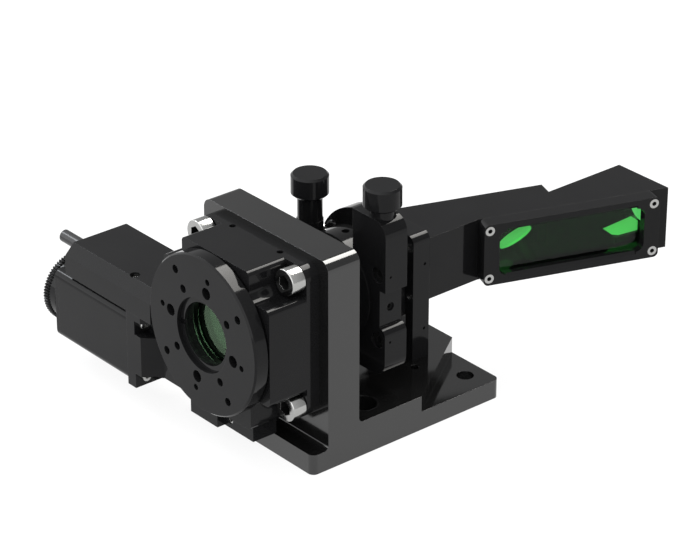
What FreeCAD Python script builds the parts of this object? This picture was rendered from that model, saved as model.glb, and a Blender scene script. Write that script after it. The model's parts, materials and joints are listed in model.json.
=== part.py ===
import FreeCAD, Part
import os
import re

import Sketcher

# Motorized variable attenuator. X runs to the right, Y along the beam and Z up.
# The origin is the centre of the base's underside, and the beam is at X 0.

SIZES = {
    # Bracket
    "base_width": 70.0,
    "base_length": 90.0,
    "base_height": 14.0,
    "base_low_height": 7.6,
    "foot_height": 8.0,
    "base_corner": 2.5,
    "step_side": 6.4,
    "step_back": 8.5,
    "axis_height": 50.0,
    "upright_front": -37.65,
    "upright_thickness": 14.25,
    "upright_rise": 32.4,
    "upright_corner": 4.0,
    "upright_fillet": 2.0,
    "upright_bore": 15.0,
    "table_hole_x": 25.0,
    "table_hole_pitch": 50.0,
    "table_hole_front": -13.2,
    "table_hole": 3.3,
    "table_counterbore": 5.5,
    "table_counterbore_depth": 6.6,
    "dowel_x": 16.8,
    "dowel_y": 18.9,
    "dowel_radius": 1.65,
    "dowel_depth": 8.0,
    "fit_gap": 0.05,
    # Rotation stage
    "stage_half": 30.0,
    "stage_front": -60.0,
    "stage_flange": 5.6,
    "stage_corner": 5.0,
    "lobe_half": 19.0,
    "lobe_edge": 2.0,
    "lobe_hollow": 4.0,
    "lobe_drop": 3.0,
    "stage_bolt_offset": 25.0,
    "stage_bolt_radius": 3.0,
    "stage_bolt_head": 5.0,
    "stage_bolt_head_height": 6.0,
    "stage_bolt_reach": 12.0,
    "wheel_room": 1.75,
    "stage_lip": 3.35,
    "stage_rear_hole": 16.5,
    "lid_hole_x": 13.4,
    "lid_hole_y": -41.5,
    "lid_hole_radius": 1.25,
    "lid_hole_depth": 5.0,
    # Turning platform and the half-wave plate in it
    "platform_radius": 30.5,
    "platform_thickness": 6.05,
    "platform_gap": 0.5,
    "platform_edge": 0.6,
    "platform_bore": 14.2,
    "platform_seat": 10.05,
    "hub_radius": 17.0,
    "hub_length": 18.6,
    "hub_throat": 12.2,
    "tap_circle": 18.0,
    "tap_radius": 2.3,
    "dowel_circle": 22.8,
    "dowel_hole_radius": 1.2,
    "inner_circle": 17.7,
    "outer_circle": 25.2,
    "fixing_radius": 1.6,
    "fixing_depth": 5.0,
    "tap_turn": -10.0,
    "fixing_turn": 35.0,
    "cell_length": 7.0,
    "cell_wall": 1.4,
    "cell_lip": 1.0,
    "cell_throat": 11.5,
    "waveplate_thickness": 3.0,
    "ring_thickness": 1.5,
    "ring_throat": 11.9,
    "ring_slot_width": 2.0,
    "ring_slot_depth": 0.8,
    "bearing_width": 4.5,
    "race_wall": 1.6,
    "ball_radius": 0.95,
    "lock_ring_width": 2.5,
    "lock_ring_thickness": 1.1,
    "wheel_rim": 3.25,
    "wheel_width": 6.0,
    "tooth_gap": 0.42,
    # Worm and its line of shafts
    "worm_y": -52.0,
    "mesh_gap": 0.25,
    "worm_radius": 3.4,
    "worm_length": 16.0,
    "thread_pitch": 1.414,
    "thread_depth": 0.4,
    "worm_tunnel": 5.0,
    "worm_tunnel_end": 16.0,
    "worm_shaft_radius": 2.0,
    "worm_shaft_start": -37.0,
    "worm_bearing_width": 3.0,
    "coupling_radius": 4.5,
    "coupling_start": -44.0,
    "coupling_length": 13.0,
    "coupling_slit": 0.6,
    "coupling_slit_depth": 1.6,
    "coupling_room": 0.7,
    "motor_shaft_radius": 2.5,
    "motor_shaft_end": -38.0,
    # Worm cover under the stage
    "cover_drop": 40.0,
    "cover_left": -16.0,
    "cover_step": -0.4,
    "cover_right": 16.0,
    "cover_setback": 3.3,
    "cover_rear": -46.0,
    "cover_screw_x": 2.9,
    "cover_screw_drop": 36.6,
    "cover_screw_radius": 1.5,
    "cover_screw_length": 5.0,
    # Stepper motor and the adaptor that holds it
    "motor_right": -45.8,
    "motor_length": 44.8,
    "motor_side": 28.0,
    "motor_edge": 3.0,
    "motor_can": 12.0,
    "motor_front_wall": 4.2,
    "motor_cap": 2.0,
    "motor_boss": 4.6,
    "motor_bearing_radius": 5.0,
    "motor_bearing_width": 3.0,
    "shaft_room": 0.5,
    "rotor_radius": 7.0,
    "stator_inner": 7.4,
    "stack_length": 26.0,
    "stack_start": -80.0,
    "motor_screw_offset": 10.5,
    "motor_screw_radius": 1.25,
    "motor_screw_head": 1.9,
    "motor_screw_head_height": 2.4,
    "adaptor_plate": 4.8,
    "adaptor_plate_drop": 39.1,
    "adaptor_drop": 33.0,
    "adaptor_right": -30.6,
    "adaptor_corner_x": -37.4,
    "adaptor_corner_y": -60.0,
    "gasket_thickness": 1.2,
    "adaptor_arm_gap": 0.05,
    "slot_low": 8.1,
    "slot_high": 2.5,
    "slot_depth": 5.5,
    "adaptor_screw_left": -27.0,
    "adaptor_screw_right": -21.5,
    "adaptor_screw_y": -57.5,
    "adaptor_screw_reach": 5.0,
    # Driver housing on the motor
    "driver_left": -83.0,
    "driver_right": -31.0,
    "driver_gap": 0.1,
    "driver_height": 12.0,
    "driver_bevel": 4.1,
    "driver_wall": 2.0,
    "driver_solid": 19.5,
    "gasket_inset": 1.5,
    "board_length": 28.0,
    "board_width": 18.0,
    "board_thickness": 1.6,
    "board_lift": 2.7,
    "standoff_radius": 1.5,
    "top_screw_x": -47.3,
    "top_screw_front": -60.3,
    "top_screw_rear": -43.0,
    "top_screw_recess": 1.2,
    "top_screw_reach": 1.7,
    "outlet_radius": 2.45,
    "outlet_bore": 1.5,
    "outlet_length": 12.0,
    "outlet_y": -57.5,
    "outlet_rise": 8.7,
    # Hand knob on the motor's rear shaft
    "hand_knob_radius": 14.0,
    "hand_knob_start": -99.0,
    "hand_knob_width": 7.2,
    "hand_knob_edge": 0.8,
    "knurl_radius": 0.7,
    # Kinematic mount
    "mount_rear": 4.8,
    "mount_thickness": 10.2,
    "mount_half": 28.0,
    "mount_drop": 27.5,
    "mount_rise": 13.2,
    "mount_foot_round": 6.0,
    "column_left": 10.0,
    "column_rise": 34.4,
    "column_round": 6.0,
    "notch_depth": 3.0,
    "notch_round": 2.9,
    "notch_drop": 8.0,
    "notch_rise": 7.0,
    "cell_radius": 19.9,
    "cell_gap": 0.1,
    "cell_front": -6.0,
    "cell_depth": 10.5,
    "cell_bore": 12.7,
    "cell_shoulder": 11.4,
    "polarizer_thickness": 3.0,
    "polarizer_inset": 3.0,
    "cell_hole_radius": 1.5,
    "cell_hole_depth": 4.0,
    "clamp_drop": 0.9,
    "clamp_radius": 1.65,
    "plug_x": 23.7,
    "plug_drop": 13.4,
    "plug_rise": 12.9,
    "plug_radius": 3.0,
    "plug_depth": 2.2,
    "plug_inset": 1.0,
    "adjuster_x": 20.2,
    "adjuster_y": -0.3,
    "adjuster_screw": 2.5,
    "adjuster_tip": 1.2,
    "adjuster_tip_rise": 9.8,
    "bushing_radius": 4.7,
    "bushing_a_rise": 16.2,
    "bushing_b_rise": 14.0,
    "boss_radius": 5.0,
    "boss_height": 4.3,
    "bushing_gap": 0.3,
    "knob_radius": 7.1,
    "knob_grip": 7.7,
    "knob_edge": 0.8,
    "knob_a_rise": 37.55,
    "knob_taper": 0.7,
    "knob_b_rise": 27.45,
    "knob_cap": 4.0,
    # Flange, balls, springs and rear plate
    "flange_front": 8.0,
    "flange_radius": 25.1,
    "flange_thickness": 7.0,
    "flange_side": 12.5,
    "flange_web": 2.0,
    "flange_web_reach": 21.5,
    "flange_web_notch": 18.0,
    "spacer_half": 8.6,
    "spacer_drop": 24.0,
    "spacer_rise": 12.0,
    "side_pin_hole": 0.5,
    "side_pin_depth": 1.2,
    "side_pin_y": -2.9,
    "rest_ball": 2.4,
    "rest_ball_rise": 11.0,
    "pivot_drop": 23.0,
    "ball_room": 0.3,
    "ball_room_depth": 3.0,
    "spring_x": 19.5,
    "spring_drop": 13.5,
    "spring_radius": 1.3,
    "spring_wire": 0.3,
    "spring_end": -3.0,
    "spring_room": 0.8,
    "rear_front": 21.1,
    "rear_thickness": 7.9,
    "rear_half": 13.0,
    "rear_rise": 15.0,
    "rear_round": 3.0,
    "rear_bore": 7.5,
    "rear_side_hole": 0.6,
    "rear_side_y": 26.7,
    "rear_side_rise": 2.8,
    "rear_side_drop": 23.9,
    "rear_side_depth": 6.0,
    "flange_screw_x": 5.0,
    "flange_screw_drop": 19.5,
    "small_screw": 1.5,
    "small_head": 2.6,
    "small_head_height": 3.0,
    "rear_screw_x": 8.0,
    "rear_screw_radius": 2.0,
    "rear_screw_head": 3.5,
    "rear_screw_head_height": 4.0,
    "rear_screw_recess": 1.0,
    "rear_screw_bite": 10.0,
    # Arm with its window
    "arm_height": 25.0,
    "arm_slant": 19.5,
    "arm_tail": 6.15,
    "arm_turn": 52.9,
    "arm_width": 19.2,
    "arm_back": 6.2,
    "outlet_left": 12.5,
    "arm_floor": 2.5,
    "arm_wall": 2.5,
    "arm_neck": 9.5,
    "arm_end_wall": 4.0,
    "arm_rim_start": 4.5,
    "arm_rim_margin": 3.9,
    "exit_margin": 13.486,
    "exit_radius": 6.35,
    "exit_room": 1.5,
    "arm_screw_x": 10.9,
    "arm_screw_z": 10.0,
    "arm_screw_radius": 1.0,
    "arm_screw_head": 1.7,
    "arm_screw_head_height": 2.0,
    "arm_screw_reach": 6.0,
    "frame_thickness": 6.1,
    "frame_length": 71.4,
    "frame_corner": 2.0,
    "sight_margin": 6.2,
    "sight_edge": 3.5,
    "sight_corner": 3.0,
    "sight_bevel": 1.2,
    "glass_rebate": 2.0,
    "glass_thickness": 2.0,
    "glass_setback": 0.5,
    "window_screw_inset": 2.35,
    "window_screw_edge": 2.65,
    "window_screw_radius": 1.0,
    "window_screw_head": 1.9,
    "window_screw_head_height": 2.0,
    "window_screw_sink": 0.2,
    "window_screw_reach": 3.0,
    # Optics inside the arm
    "disc_radius": 7.0,
    "disc_thickness": 1.0,
    "disc_x": 10.6,
    "disc_y": 74.0,
    "disc_drop": 2.4,
    "disc_lean": 35.4,
    "disc_heading": 212.3,
    "post_radius": 3.0,
    "optic_setback": 10.6,
    "optic_thickness": 1.0,
    "optic_reach": 8.8,
    "optic_foot": -8.0,
    "optic_tip": -4.0,
    "optic_top": -2.0,
    "holder_depth": 5.0,
    "holder_length": 11.0,
}

# Sizes that follow from others. Heights count from the beam.
DERIVED = {
    "inner_race": "(hub_radius + race_wall)",
    "ball_circle": "(inner_race + ball_radius + fit_gap)",
    "outer_race": "(ball_circle + ball_radius + fit_gap)",
    "lock_ring_radius": "(hub_radius + lock_ring_width)",
    "wheel_radius": "(hub_radius + wheel_rim)",
    "stage_cavity": "(wheel_radius + wheel_room)",
    "worm_z": "(axis_height - wheel_radius - worm_radius - mesh_gap)",
    "cover_bottom": "(axis_height - cover_drop)",
    "cover_screw_z": "(axis_height - cover_screw_drop)",
    "adaptor_plate_bottom": "(axis_height - adaptor_plate_drop)",
    "adaptor_bottom": "(axis_height - adaptor_drop)",
    "adaptor_top": "(worm_z + motor_side / 2 + gasket_thickness)",
    "adaptor_arm_top": "(axis_height - lobe_half - 2 * adaptor_arm_gap)",
    "slot_bottom": "(adaptor_top - slot_low)",
    "slot_top": "(adaptor_top - slot_high)",
    "driver_rear": "(upright_front - driver_gap)",
    "outlet_z": "(adaptor_top + outlet_rise)",
    "upright_height": "(axis_height + upright_rise)",
    "mount_bottom": "(axis_height - mount_drop)",
    "mount_top": "(axis_height + mount_rise)",
    "column_top": "(axis_height + column_rise)",
    "notch_bottom": "(axis_height - notch_drop)",
    "notch_top": "(axis_height + notch_rise)",
    "clamp_z": "(axis_height - clamp_drop)",
    "plug_low": "(axis_height - plug_drop)",
    "plug_high": "(axis_height + plug_rise)",
    "adjuster_tip_bottom": "(axis_height + adjuster_tip_rise)",
    "bushing_a_bottom": "(axis_height + bushing_a_rise)",
    "bushing_b_bottom": "(axis_height + bushing_b_rise)",
    "knob_a_bottom": "(axis_height + knob_a_rise)",
    "knob_b_bottom": "(axis_height + knob_b_rise)",
    "rest_ball_z": "(axis_height + rest_ball_rise)",
    "pivot_z": "(axis_height - pivot_drop)",
    "spring_z": "(axis_height - spring_drop)",
    "flange_rear": "(flange_front + flange_thickness)",
    "rear_top": "(axis_height + rear_rise)",
    "rear_side_high": "(axis_height + rear_side_rise)",
    "rear_side_low": "(axis_height - rear_side_drop)",
    "flange_screw_z": "(axis_height - flange_screw_drop)",
    "rear_screw_top": "(base_height + rear_screw_bite)",
    "arm_bottom": "(axis_height - arm_height / 2)",
    "arm_end": "(arm_turn + (frame_length + arm_tail) * cos(arm_slant * 1deg))",
    "arm_rim_end": "(frame_length - arm_rim_margin)",
    "exit_x": "(rear_half + (arm_end - arm_turn) * tan(arm_slant * 1deg) - exit_margin)",
    "sight_length": "(frame_length - 2 * sight_margin)",
    "sight_height": "(arm_height - 2 * sight_edge)",
    "window_screw_pitch": "(frame_length - 2 * window_screw_inset)",
    "window_screw_rise": "(arm_height - 2 * window_screw_edge)",
    "disc_z": "(axis_height - disc_drop)",
    "optic_y": "(arm_end - optic_setback)",
}
WORD = re.compile(r"[a-z][a-z_]+")

UPRIGHT_BACK = "(upright_front + upright_thickness)"
FLANGE_FRONT = "(upright_front - stage_flange)"
PLATFORM_BACK = "(stage_front - platform_gap)"
PLATFORM_FRONT = "(stage_front - platform_gap - platform_thickness)"
SEAT = "(stage_front - platform_gap - platform_thickness + platform_seat)"
HUB_END = "(stage_front - platform_gap + hub_length)"
MOTOR_LEFT = "(motor_right - motor_length)"
MOTOR_FRONT = "(worm_y - motor_side / 2)"
MOTOR_REAR = "(worm_y + motor_side / 2)"
MOTOR_TOP = "(worm_z + motor_side / 2)"
DRIVER_TOP = "(adaptor_top + driver_height)"
MOUNT_FRONT = "(mount_rear - mount_thickness)"
REAR_BACK = "(rear_front + rear_thickness)"
ARM_TOP = "(arm_bottom + arm_height)"
SINE = "sin(arm_slant * 1deg)"
COSINE = "cos(arm_slant * 1deg)"
TANGENT = "tan(arm_slant * 1deg)"
X_AXIS = FreeCAD.Rotation(FreeCAD.Vector(0, 1, 0), 90)
Y_AXIS = FreeCAD.Rotation(FreeCAD.Vector(1, 0, 0), -90)
Z_AXIS = FreeCAD.Rotation()

doc = FreeCAD.newDocument("Attenuator")
sheet = doc.addObject("Spreadsheet::Sheet", "Sizes")
for row, (alias, number) in enumerate(SIZES.items(), start=1):
    cell = "B%d" % row
    sheet.set("A%d" % row, alias)
    sheet.set(cell, str(number))
    sheet.setAlias(cell, alias)
doc.recompute()
pieces = []


def bound(text):
    """Write an expression on the sheet's sizes, with derived sizes spelled out."""
    text = str(text)
    while any(word in DERIVED for word in WORD.findall(text)):
        text = WORD.sub(lambda m: DERIVED.get(m[0], m[0]), text)
    return WORD.sub(lambda m: "Sizes." + m[0] if m[0] in SIZES else m[0], text)


def place(shape, x="0", y="0", z="0"):
    """Bind where a shape stands."""
    for letter, text in zip("xyz", (x, y, z)):
        shape.setExpression("Placement.Base." + letter, bound(text))
    return shape


def span(x, y, z):
    """Box between a low and a high bound along each axis."""
    shape = doc.addObject("Part::Box", "Block")
    for name, (low, high) in zip(("Length", "Width", "Height"), (x, y, z)):
        shape.setExpression(name, bound("(%s) - (%s)" % (high, low)))
    return place(shape, x[0], y[0], z[0])


def along(shape, axis, start, across):
    """Stand a shape made along Z on its start, along X, Y or Z."""
    shape.Placement = FreeCAD.Placement(FreeCAD.Vector(), {"X": X_AXIS, "Y": Y_AXIS, "Z": Z_AXIS}[axis])
    spot = list(across)
    spot.insert("XYZ".index(axis), start)
    return place(shape, *spot)


def rod(axis, radius, start, end, across):
    """Cylinder along an axis, from start to end."""
    shape = doc.addObject("Part::Cylinder", "Rod")
    shape.setExpression("Radius", bound(radius))
    shape.setExpression("Height", bound("(%s) - (%s)" % (end, start)))
    return along(shape, axis, start, across)


def joined(*shapes):
    """One solid of several that meet."""
    shape = doc.addObject("Part::MultiFuse", "Joined")
    shape.Shapes = list(shapes)
    shape.Refine = True
    return shape


def carved(base, *tools):
    """Base with every tool cut out of it."""
    shape = doc.addObject("Part::Cut", "Carved")
    shape.Base = base
    shape.Tool = tools[0] if len(tools) == 1 else joined(*tools)
    shape.Refine = True
    return shape


def group(*shapes):
    """Separate solids kept together as one piece."""
    shape = doc.addObject("Part::Compound", "Group")
    shape.Links = list(shapes)
    return shape


def edges_along(shape, direction, test):
    """Numbers of the straight edges along a direction whose middle passes the test."""
    found = []
    for number, edge in enumerate(shape.Shape.Edges, start=1):
        if edge.Curve.TypeId == "Part::GeomLine":
            if abs(abs(edge.Curve.Direction * FreeCAD.Vector(*direction)) - 1) < 1e-6:
                if test(edge.CenterOfMass):
                    found.append(number)
    return found


def rounded(base, alias, direction, test=lambda middle: True):
    """Base with the edges along a direction rounded by a size of the sheet."""
    doc.recompute()
    shape = doc.addObject("Part::Fillet", "Rounded")
    shape.Base = base
    radius = getattr(sheet, alias)
    shape.Edges = [(number, radius, radius) for number in edges_along(base, direction, test)]
    return shape


def outline(body, role, points):
    """Closed sketch of straight lines whose corners are bound to the sheet."""
    sketch = body.newObject("Sketcher::SketchObject", "Outline")
    plane = [f for f in body.Origin.OriginFeatures if f.Role == role][0]
    sketch.AttachmentSupport = (plane, [""])
    sketch.MapMode = "FlatFace"
    count = len(points)
    turn = FreeCAD.Rotation(FreeCAD.Vector(0, 0, 1), 360.0 / count)
    corner = FreeCAD.Vector(10, 0, 0)
    for number in range(count):
        following = turn.multVec(corner)
        sketch.addGeometry(Part.LineSegment(corner, following))
        corner = following
    for number in range(count):
        sketch.addConstraint(Sketcher.Constraint("Coincident", number, 2, (number + 1) % count, 1))
    for number, point in enumerate(points):
        for kind, text in zip(("DistanceX", "DistanceY"), point):
            index = sketch.addConstraint(Sketcher.Constraint(kind, number, 1, 1.0))
            sketch.setExpression("Constraints[%d]" % index, bound(text))
    return sketch


def prism(role, points, length, x="0", y="0", z="0"):
    """Outline on an origin plane, padded along that plane's normal."""
    body = doc.addObject("PartDesign::Body", "Prism")
    sketch = outline(body, role, points)
    pad = body.newObject("PartDesign::Pad", "Pad")
    pad.Profile = sketch
    pad.setExpression("Length", bound(length))
    return place(body, x, y, z)


def turned(axis, points, across):
    """Outline of radius and station, turned about an axis."""
    body = doc.addObject("PartDesign::Body", "Turned")
    sketch = outline(body, "XZ_Plane", points)
    solid = body.newObject("PartDesign::Revolution", "Revolution")
    solid.Profile = sketch
    solid.ReferenceAxis = (sketch, ["V_Axis"])
    solid.Angle = 360
    return along(body, axis, "0", across)


def ring(axis, outer, inner, start, end, across):
    """Round tube between two stations."""
    return turned(axis, [(inner, start), (outer, start), (outer, end), (inner, end)], across)


def screw(axis, way, seat, reach, shank, head, height, across):
    """Socket-head screw whose head rests on a seat, with its shank running the way given."""
    tip = "(%s) + %d * (%s)" % (seat, way, reach)
    top = "(%s) - %d * (%s)" % (seat, way, height)
    floor = "(%s) - %d * (%s) * 0.4" % (seat, way, height)
    stations = [(seat, tip), (top, seat), (top, floor)]
    shank_bar, head_bar, hex_bar = [pair if way > 0 else pair[::-1] for pair in stations]
    body = joined(rod(axis, shank, *shank_bar, across), rod(axis, head, *head_bar, across))
    return carved(body, hexagon(axis, "(%s) * 0.5" % head, *hex_bar, across))


def hexagon(axis, radius, start, end, across):
    """Six-sided bar, for a key's socket."""
    shape = doc.addObject("Part::Prism", "Hexagon")
    shape.Polygon = 6
    shape.setExpression("Circumradius", bound(radius))
    shape.setExpression("Height", bound("(%s) - (%s)" % (end, start)))
    return along(shape, axis, start, across)


def ball(radius, x, y, z):
    """Ball at a place."""
    shape = doc.addObject("Part::Sphere", "Ball")
    shape.setExpression("Radius", bound(radius))
    return place(shape, x, y, z)


def polar(radius, degrees):
    """X and Z of a point on a circle round the beam."""
    return ("(%s) * cos((%s) * 1deg)" % (radius, degrees),
            "axis_height + (%s) * sin((%s) * 1deg)" % (radius, degrees))


def piece(node, shape):
    """Name a finished piece and keep it for export."""
    shape.Label = node
    pieces.append(shape)
    return shape


def both(text):
    """A size and the same size on the other side of the middle."""
    return (text, "-(%s)" % text)


BEAM = ("0", "axis_height")
WORM = ("worm_y", "worm_z")


def make_bracket():
    half = "base_width / 2"
    back = "base_length / 2"
    low = span(("-base_width / 2", half), ("-base_length / 2", back), ("0", "base_low_height"))
    foot = span(("-base_width / 2", half), ("-base_length / 2", "upright_front"), ("0", "foot_height"))
    raised_outline = [("-base_width / 2", "upright_front"), (half, "upright_front"), (half, "step_side"),
                      ("step_back", back), ("-base_width / 2", back)]
    raised = prism("XY_Plane", raised_outline, "base_height")
    upright = span(("-base_width / 2", half), ("upright_front", UPRIGHT_BACK), ("0", "upright_height"))
    upright = rounded(upright, "upright_corner", (0, 1, 0), lambda m: m.z > sheet.base_height)
    body = joined(low, foot, raised, upright)
    edge_x = sheet.base_width / 2
    edge_y = sheet.base_length / 2
    body = rounded(body, "base_corner", (0, 0, 1),
                   lambda m: abs(abs(m.x) - edge_x) < 0.01 and abs(abs(m.y) - edge_y) < 0.01)
    rear = sheet.upright_front + sheet.upright_thickness
    body = rounded(body, "upright_fillet", (1, 0, 0),
                   lambda m: (abs(m.y - rear) < 0.01 and abs(m.z - sheet.base_height) < 0.01)
                   or (abs(m.y - sheet.upright_front) < 0.01 and abs(m.z - sheet.foot_height) < 0.01))
    cuts = [rod("Y", "upright_bore", "upright_front - 1", UPRIGHT_BACK + " + 1", BEAM)]
    for x in both("table_hole_x"):
        for y in ("table_hole_front", "table_hole_front + table_hole_pitch"):
            cuts.append(rod("Z", "table_hole", "-1", "base_height + 1", (x, y)))
        cuts.append(rod("Z", "table_counterbore", "base_height - table_counterbore_depth",
                        "base_height + 1",
                        (x, "table_hole_front")))
    cuts.append(rod("Z", "table_counterbore", "base_height - table_counterbore_depth", "base_height + 1",
                    ("-table_hole_x", "table_hole_front + table_hole_pitch")))
    for x in both("rear_screw_x"):
        spot = (x, "rear_front + rear_thickness / 2")
        cuts.append(rod("Z", "rear_screw_radius + fit_gap", "0", "base_height + 1", spot))
        cuts.append(rod("Z", "rear_screw_head + fit_gap", "-1",
                        "rear_screw_recess + rear_screw_head_height", spot))
    for x in both("stage_bolt_offset"):
        for z in both("stage_bolt_offset"):
            cuts.append(rod("Y", "stage_bolt_radius + fit_gap", "upright_front - 1",
                            "upright_front + stage_bolt_reach + 0.5", (x, "axis_height + " + z)))
    cuts.append(rod("Z", "dowel_radius", "base_height - dowel_depth", "base_height + 1",
                    ("dowel_x", "dowel_y")))
    piece("bracket", carved(body, *cuts))


def make_stage():
    half, lobe = "stage_half", "lobe_half"
    wide = span(("-stage_half", half), ("stage_front", FLANGE_FRONT),
                ("axis_height - lobe_half", "axis_height + lobe_half"))
    tall = span(("-lobe_half", lobe), ("stage_front", FLANGE_FRONT),
                ("axis_height - stage_half - lobe_drop", "axis_height + stage_half"))
    cross = joined(wide, tall)
    reach = sheet.lobe_half + 0.01
    inner = lambda m: abs(m.x) < reach and abs(m.z - sheet.axis_height) < reach
    cross = rounded(cross, "lobe_hollow", (0, 1, 0), inner)
    near = sheet.lobe_half + sheet.lobe_hollow + 0.5
    cross = rounded(cross, "lobe_edge", (0, 1, 0),
                    lambda m: max(abs(m.x), abs(m.z - sheet.axis_height)) > near)
    flange = span(("-stage_half", half), (FLANGE_FRONT, "upright_front"),
                  ("axis_height - stage_half", "axis_height + stage_half"))
    flange = rounded(flange, "stage_corner", (0, 1, 0))
    tunnel_start = "-lobe_half - 1"
    cuts = [rod("Y", "stage_cavity + fit_gap", "stage_front - 1", "upright_front - stage_lip", BEAM),
            rod("Y", "stage_rear_hole", "upright_front - stage_lip - 1", "upright_front + 1", BEAM),
            rod("X", "worm_tunnel", tunnel_start, "worm_tunnel_end", WORM)]
    for x in both("stage_bolt_offset"):
        for z in both("stage_bolt_offset"):
            cuts.append(rod("Y", "stage_bolt_radius + fit_gap", FLANGE_FRONT + " - 1", "upright_front + 1",
                            (x, "axis_height + " + z)))
    for x in both("lid_hole_x"):
        cuts.append(rod("Z", "lid_hole_radius", "axis_height + stage_half - lid_hole_depth",
                        "axis_height + stage_half + 1", (x, "lid_hole_y")))
    for x in ("adaptor_screw_left", "adaptor_screw_right"):
        cuts.append(rod("Z", "motor_screw_radius + fit_gap", "axis_height - lobe_half - 1",
                        "axis_height - lobe_half + adaptor_screw_reach + 0.5", (x, "adaptor_screw_y")))
    piece("stage_body", carved(joined(cross, flange), *cuts))
    bolts = []
    for x in both("stage_bolt_offset"):
        for z in both("stage_bolt_offset"):
            bolts.append(screw("Y", 1, FLANGE_FRONT, "stage_flange + stage_bolt_reach", "stage_bolt_radius",
                               "stage_bolt_head", "stage_bolt_head_height", (x, "axis_height + " + z)))
    piece("stage_bolts", group(*bolts))


def make_platform():
    edge = "platform_edge"
    rim = "(platform_radius - %s)" % edge
    disc = [("hub_throat", HUB_END), ("hub_throat", SEAT), ("platform_bore", SEAT),
            ("platform_bore", PLATFORM_FRONT),
            (rim, PLATFORM_FRONT), ("platform_radius", PLATFORM_FRONT + " + " + edge),
            ("platform_radius", PLATFORM_BACK + " - " + edge), (rim, PLATFORM_BACK),
            ("hub_radius", PLATFORM_BACK), ("hub_radius", HUB_END)]
    holes = []
    patterns = [("tap_circle", "tap_radius", "tap_turn"), ("dowel_circle", "dowel_hole_radius", "tap_turn"),
                ("inner_circle", "fixing_radius", "fixing_turn"),
                ("outer_circle", "fixing_radius", "fixing_turn")]
    for circle, radius, first in patterns:
        for quarter in range(4):
            spot = polar(circle, "%s + %d" % (first, 90 * quarter))
            holes.append(rod("Y", radius, PLATFORM_FRONT + " - 1", PLATFORM_FRONT + " + fixing_depth",
                             spot))
    piece("platform", carved(turned("Y", disc, BEAM), *holes))
    wheel = ring("Y", "wheel_radius", "hub_radius + fit_gap", "worm_y - wheel_width / 2",
                 "worm_y + wheel_width / 2", BEAM)
    gaps = []
    for tooth in range(90):
        spot = polar("wheel_radius", 4 * tooth)
        gaps.append(rod("Y", "tooth_gap", "worm_y - wheel_width", "worm_y + wheel_width", spot))
    piece("worm_wheel", carved(wheel, *gaps))
    outer = "platform_bore - fit_gap"
    wall = "platform_bore - fit_gap - cell_wall"
    cell = [("cell_throat", SEAT), (outer, SEAT), (outer, SEAT + " - cell_length"),
            (wall, SEAT + " - cell_length"),
            (wall, SEAT + " - cell_lip"), ("cell_throat", SEAT + " - cell_lip")]
    piece("waveplate_cell", turned("Y", cell, BEAM))
    piece("half_wave_plate", rod("Y", wall + " - fit_gap", SEAT + " - cell_lip - waveplate_thickness",
                                 SEAT + " - cell_lip", BEAM))
    front = SEAT + " - cell_length - ring_thickness"
    nut = ring("Y", outer, "ring_throat", front, SEAT + " - cell_length", BEAM)
    slots = span(("-platform_bore", "platform_bore"), (front + " - 1", front + " + ring_slot_depth"),
                 ("axis_height - ring_slot_width / 2", "axis_height + ring_slot_width / 2"))
    piece("waveplate_ring", carved(nut, slots))
    start = HUB_END + " - lock_ring_thickness - bearing_width"
    end = HUB_END + " - lock_ring_thickness"
    piece("platform_bearing_inner", ring("Y", "inner_race", "hub_radius + fit_gap", start, end, BEAM))
    piece("platform_bearing_outer", ring("Y", "stage_cavity", "outer_race", start,
                                         "upright_front - stage_lip", BEAM))
    piece("bearing_lock_ring", ring("Y", "lock_ring_radius", "hub_radius + fit_gap", end, HUB_END, BEAM))
    balls = []
    for number in range(20):
        x, z = polar("ball_circle", 18 * number)
        balls.append(ball("ball_radius", x, HUB_END + " - lock_ring_thickness - bearing_width / 2", z))
    piece("bearing_balls", group(*balls))


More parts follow.
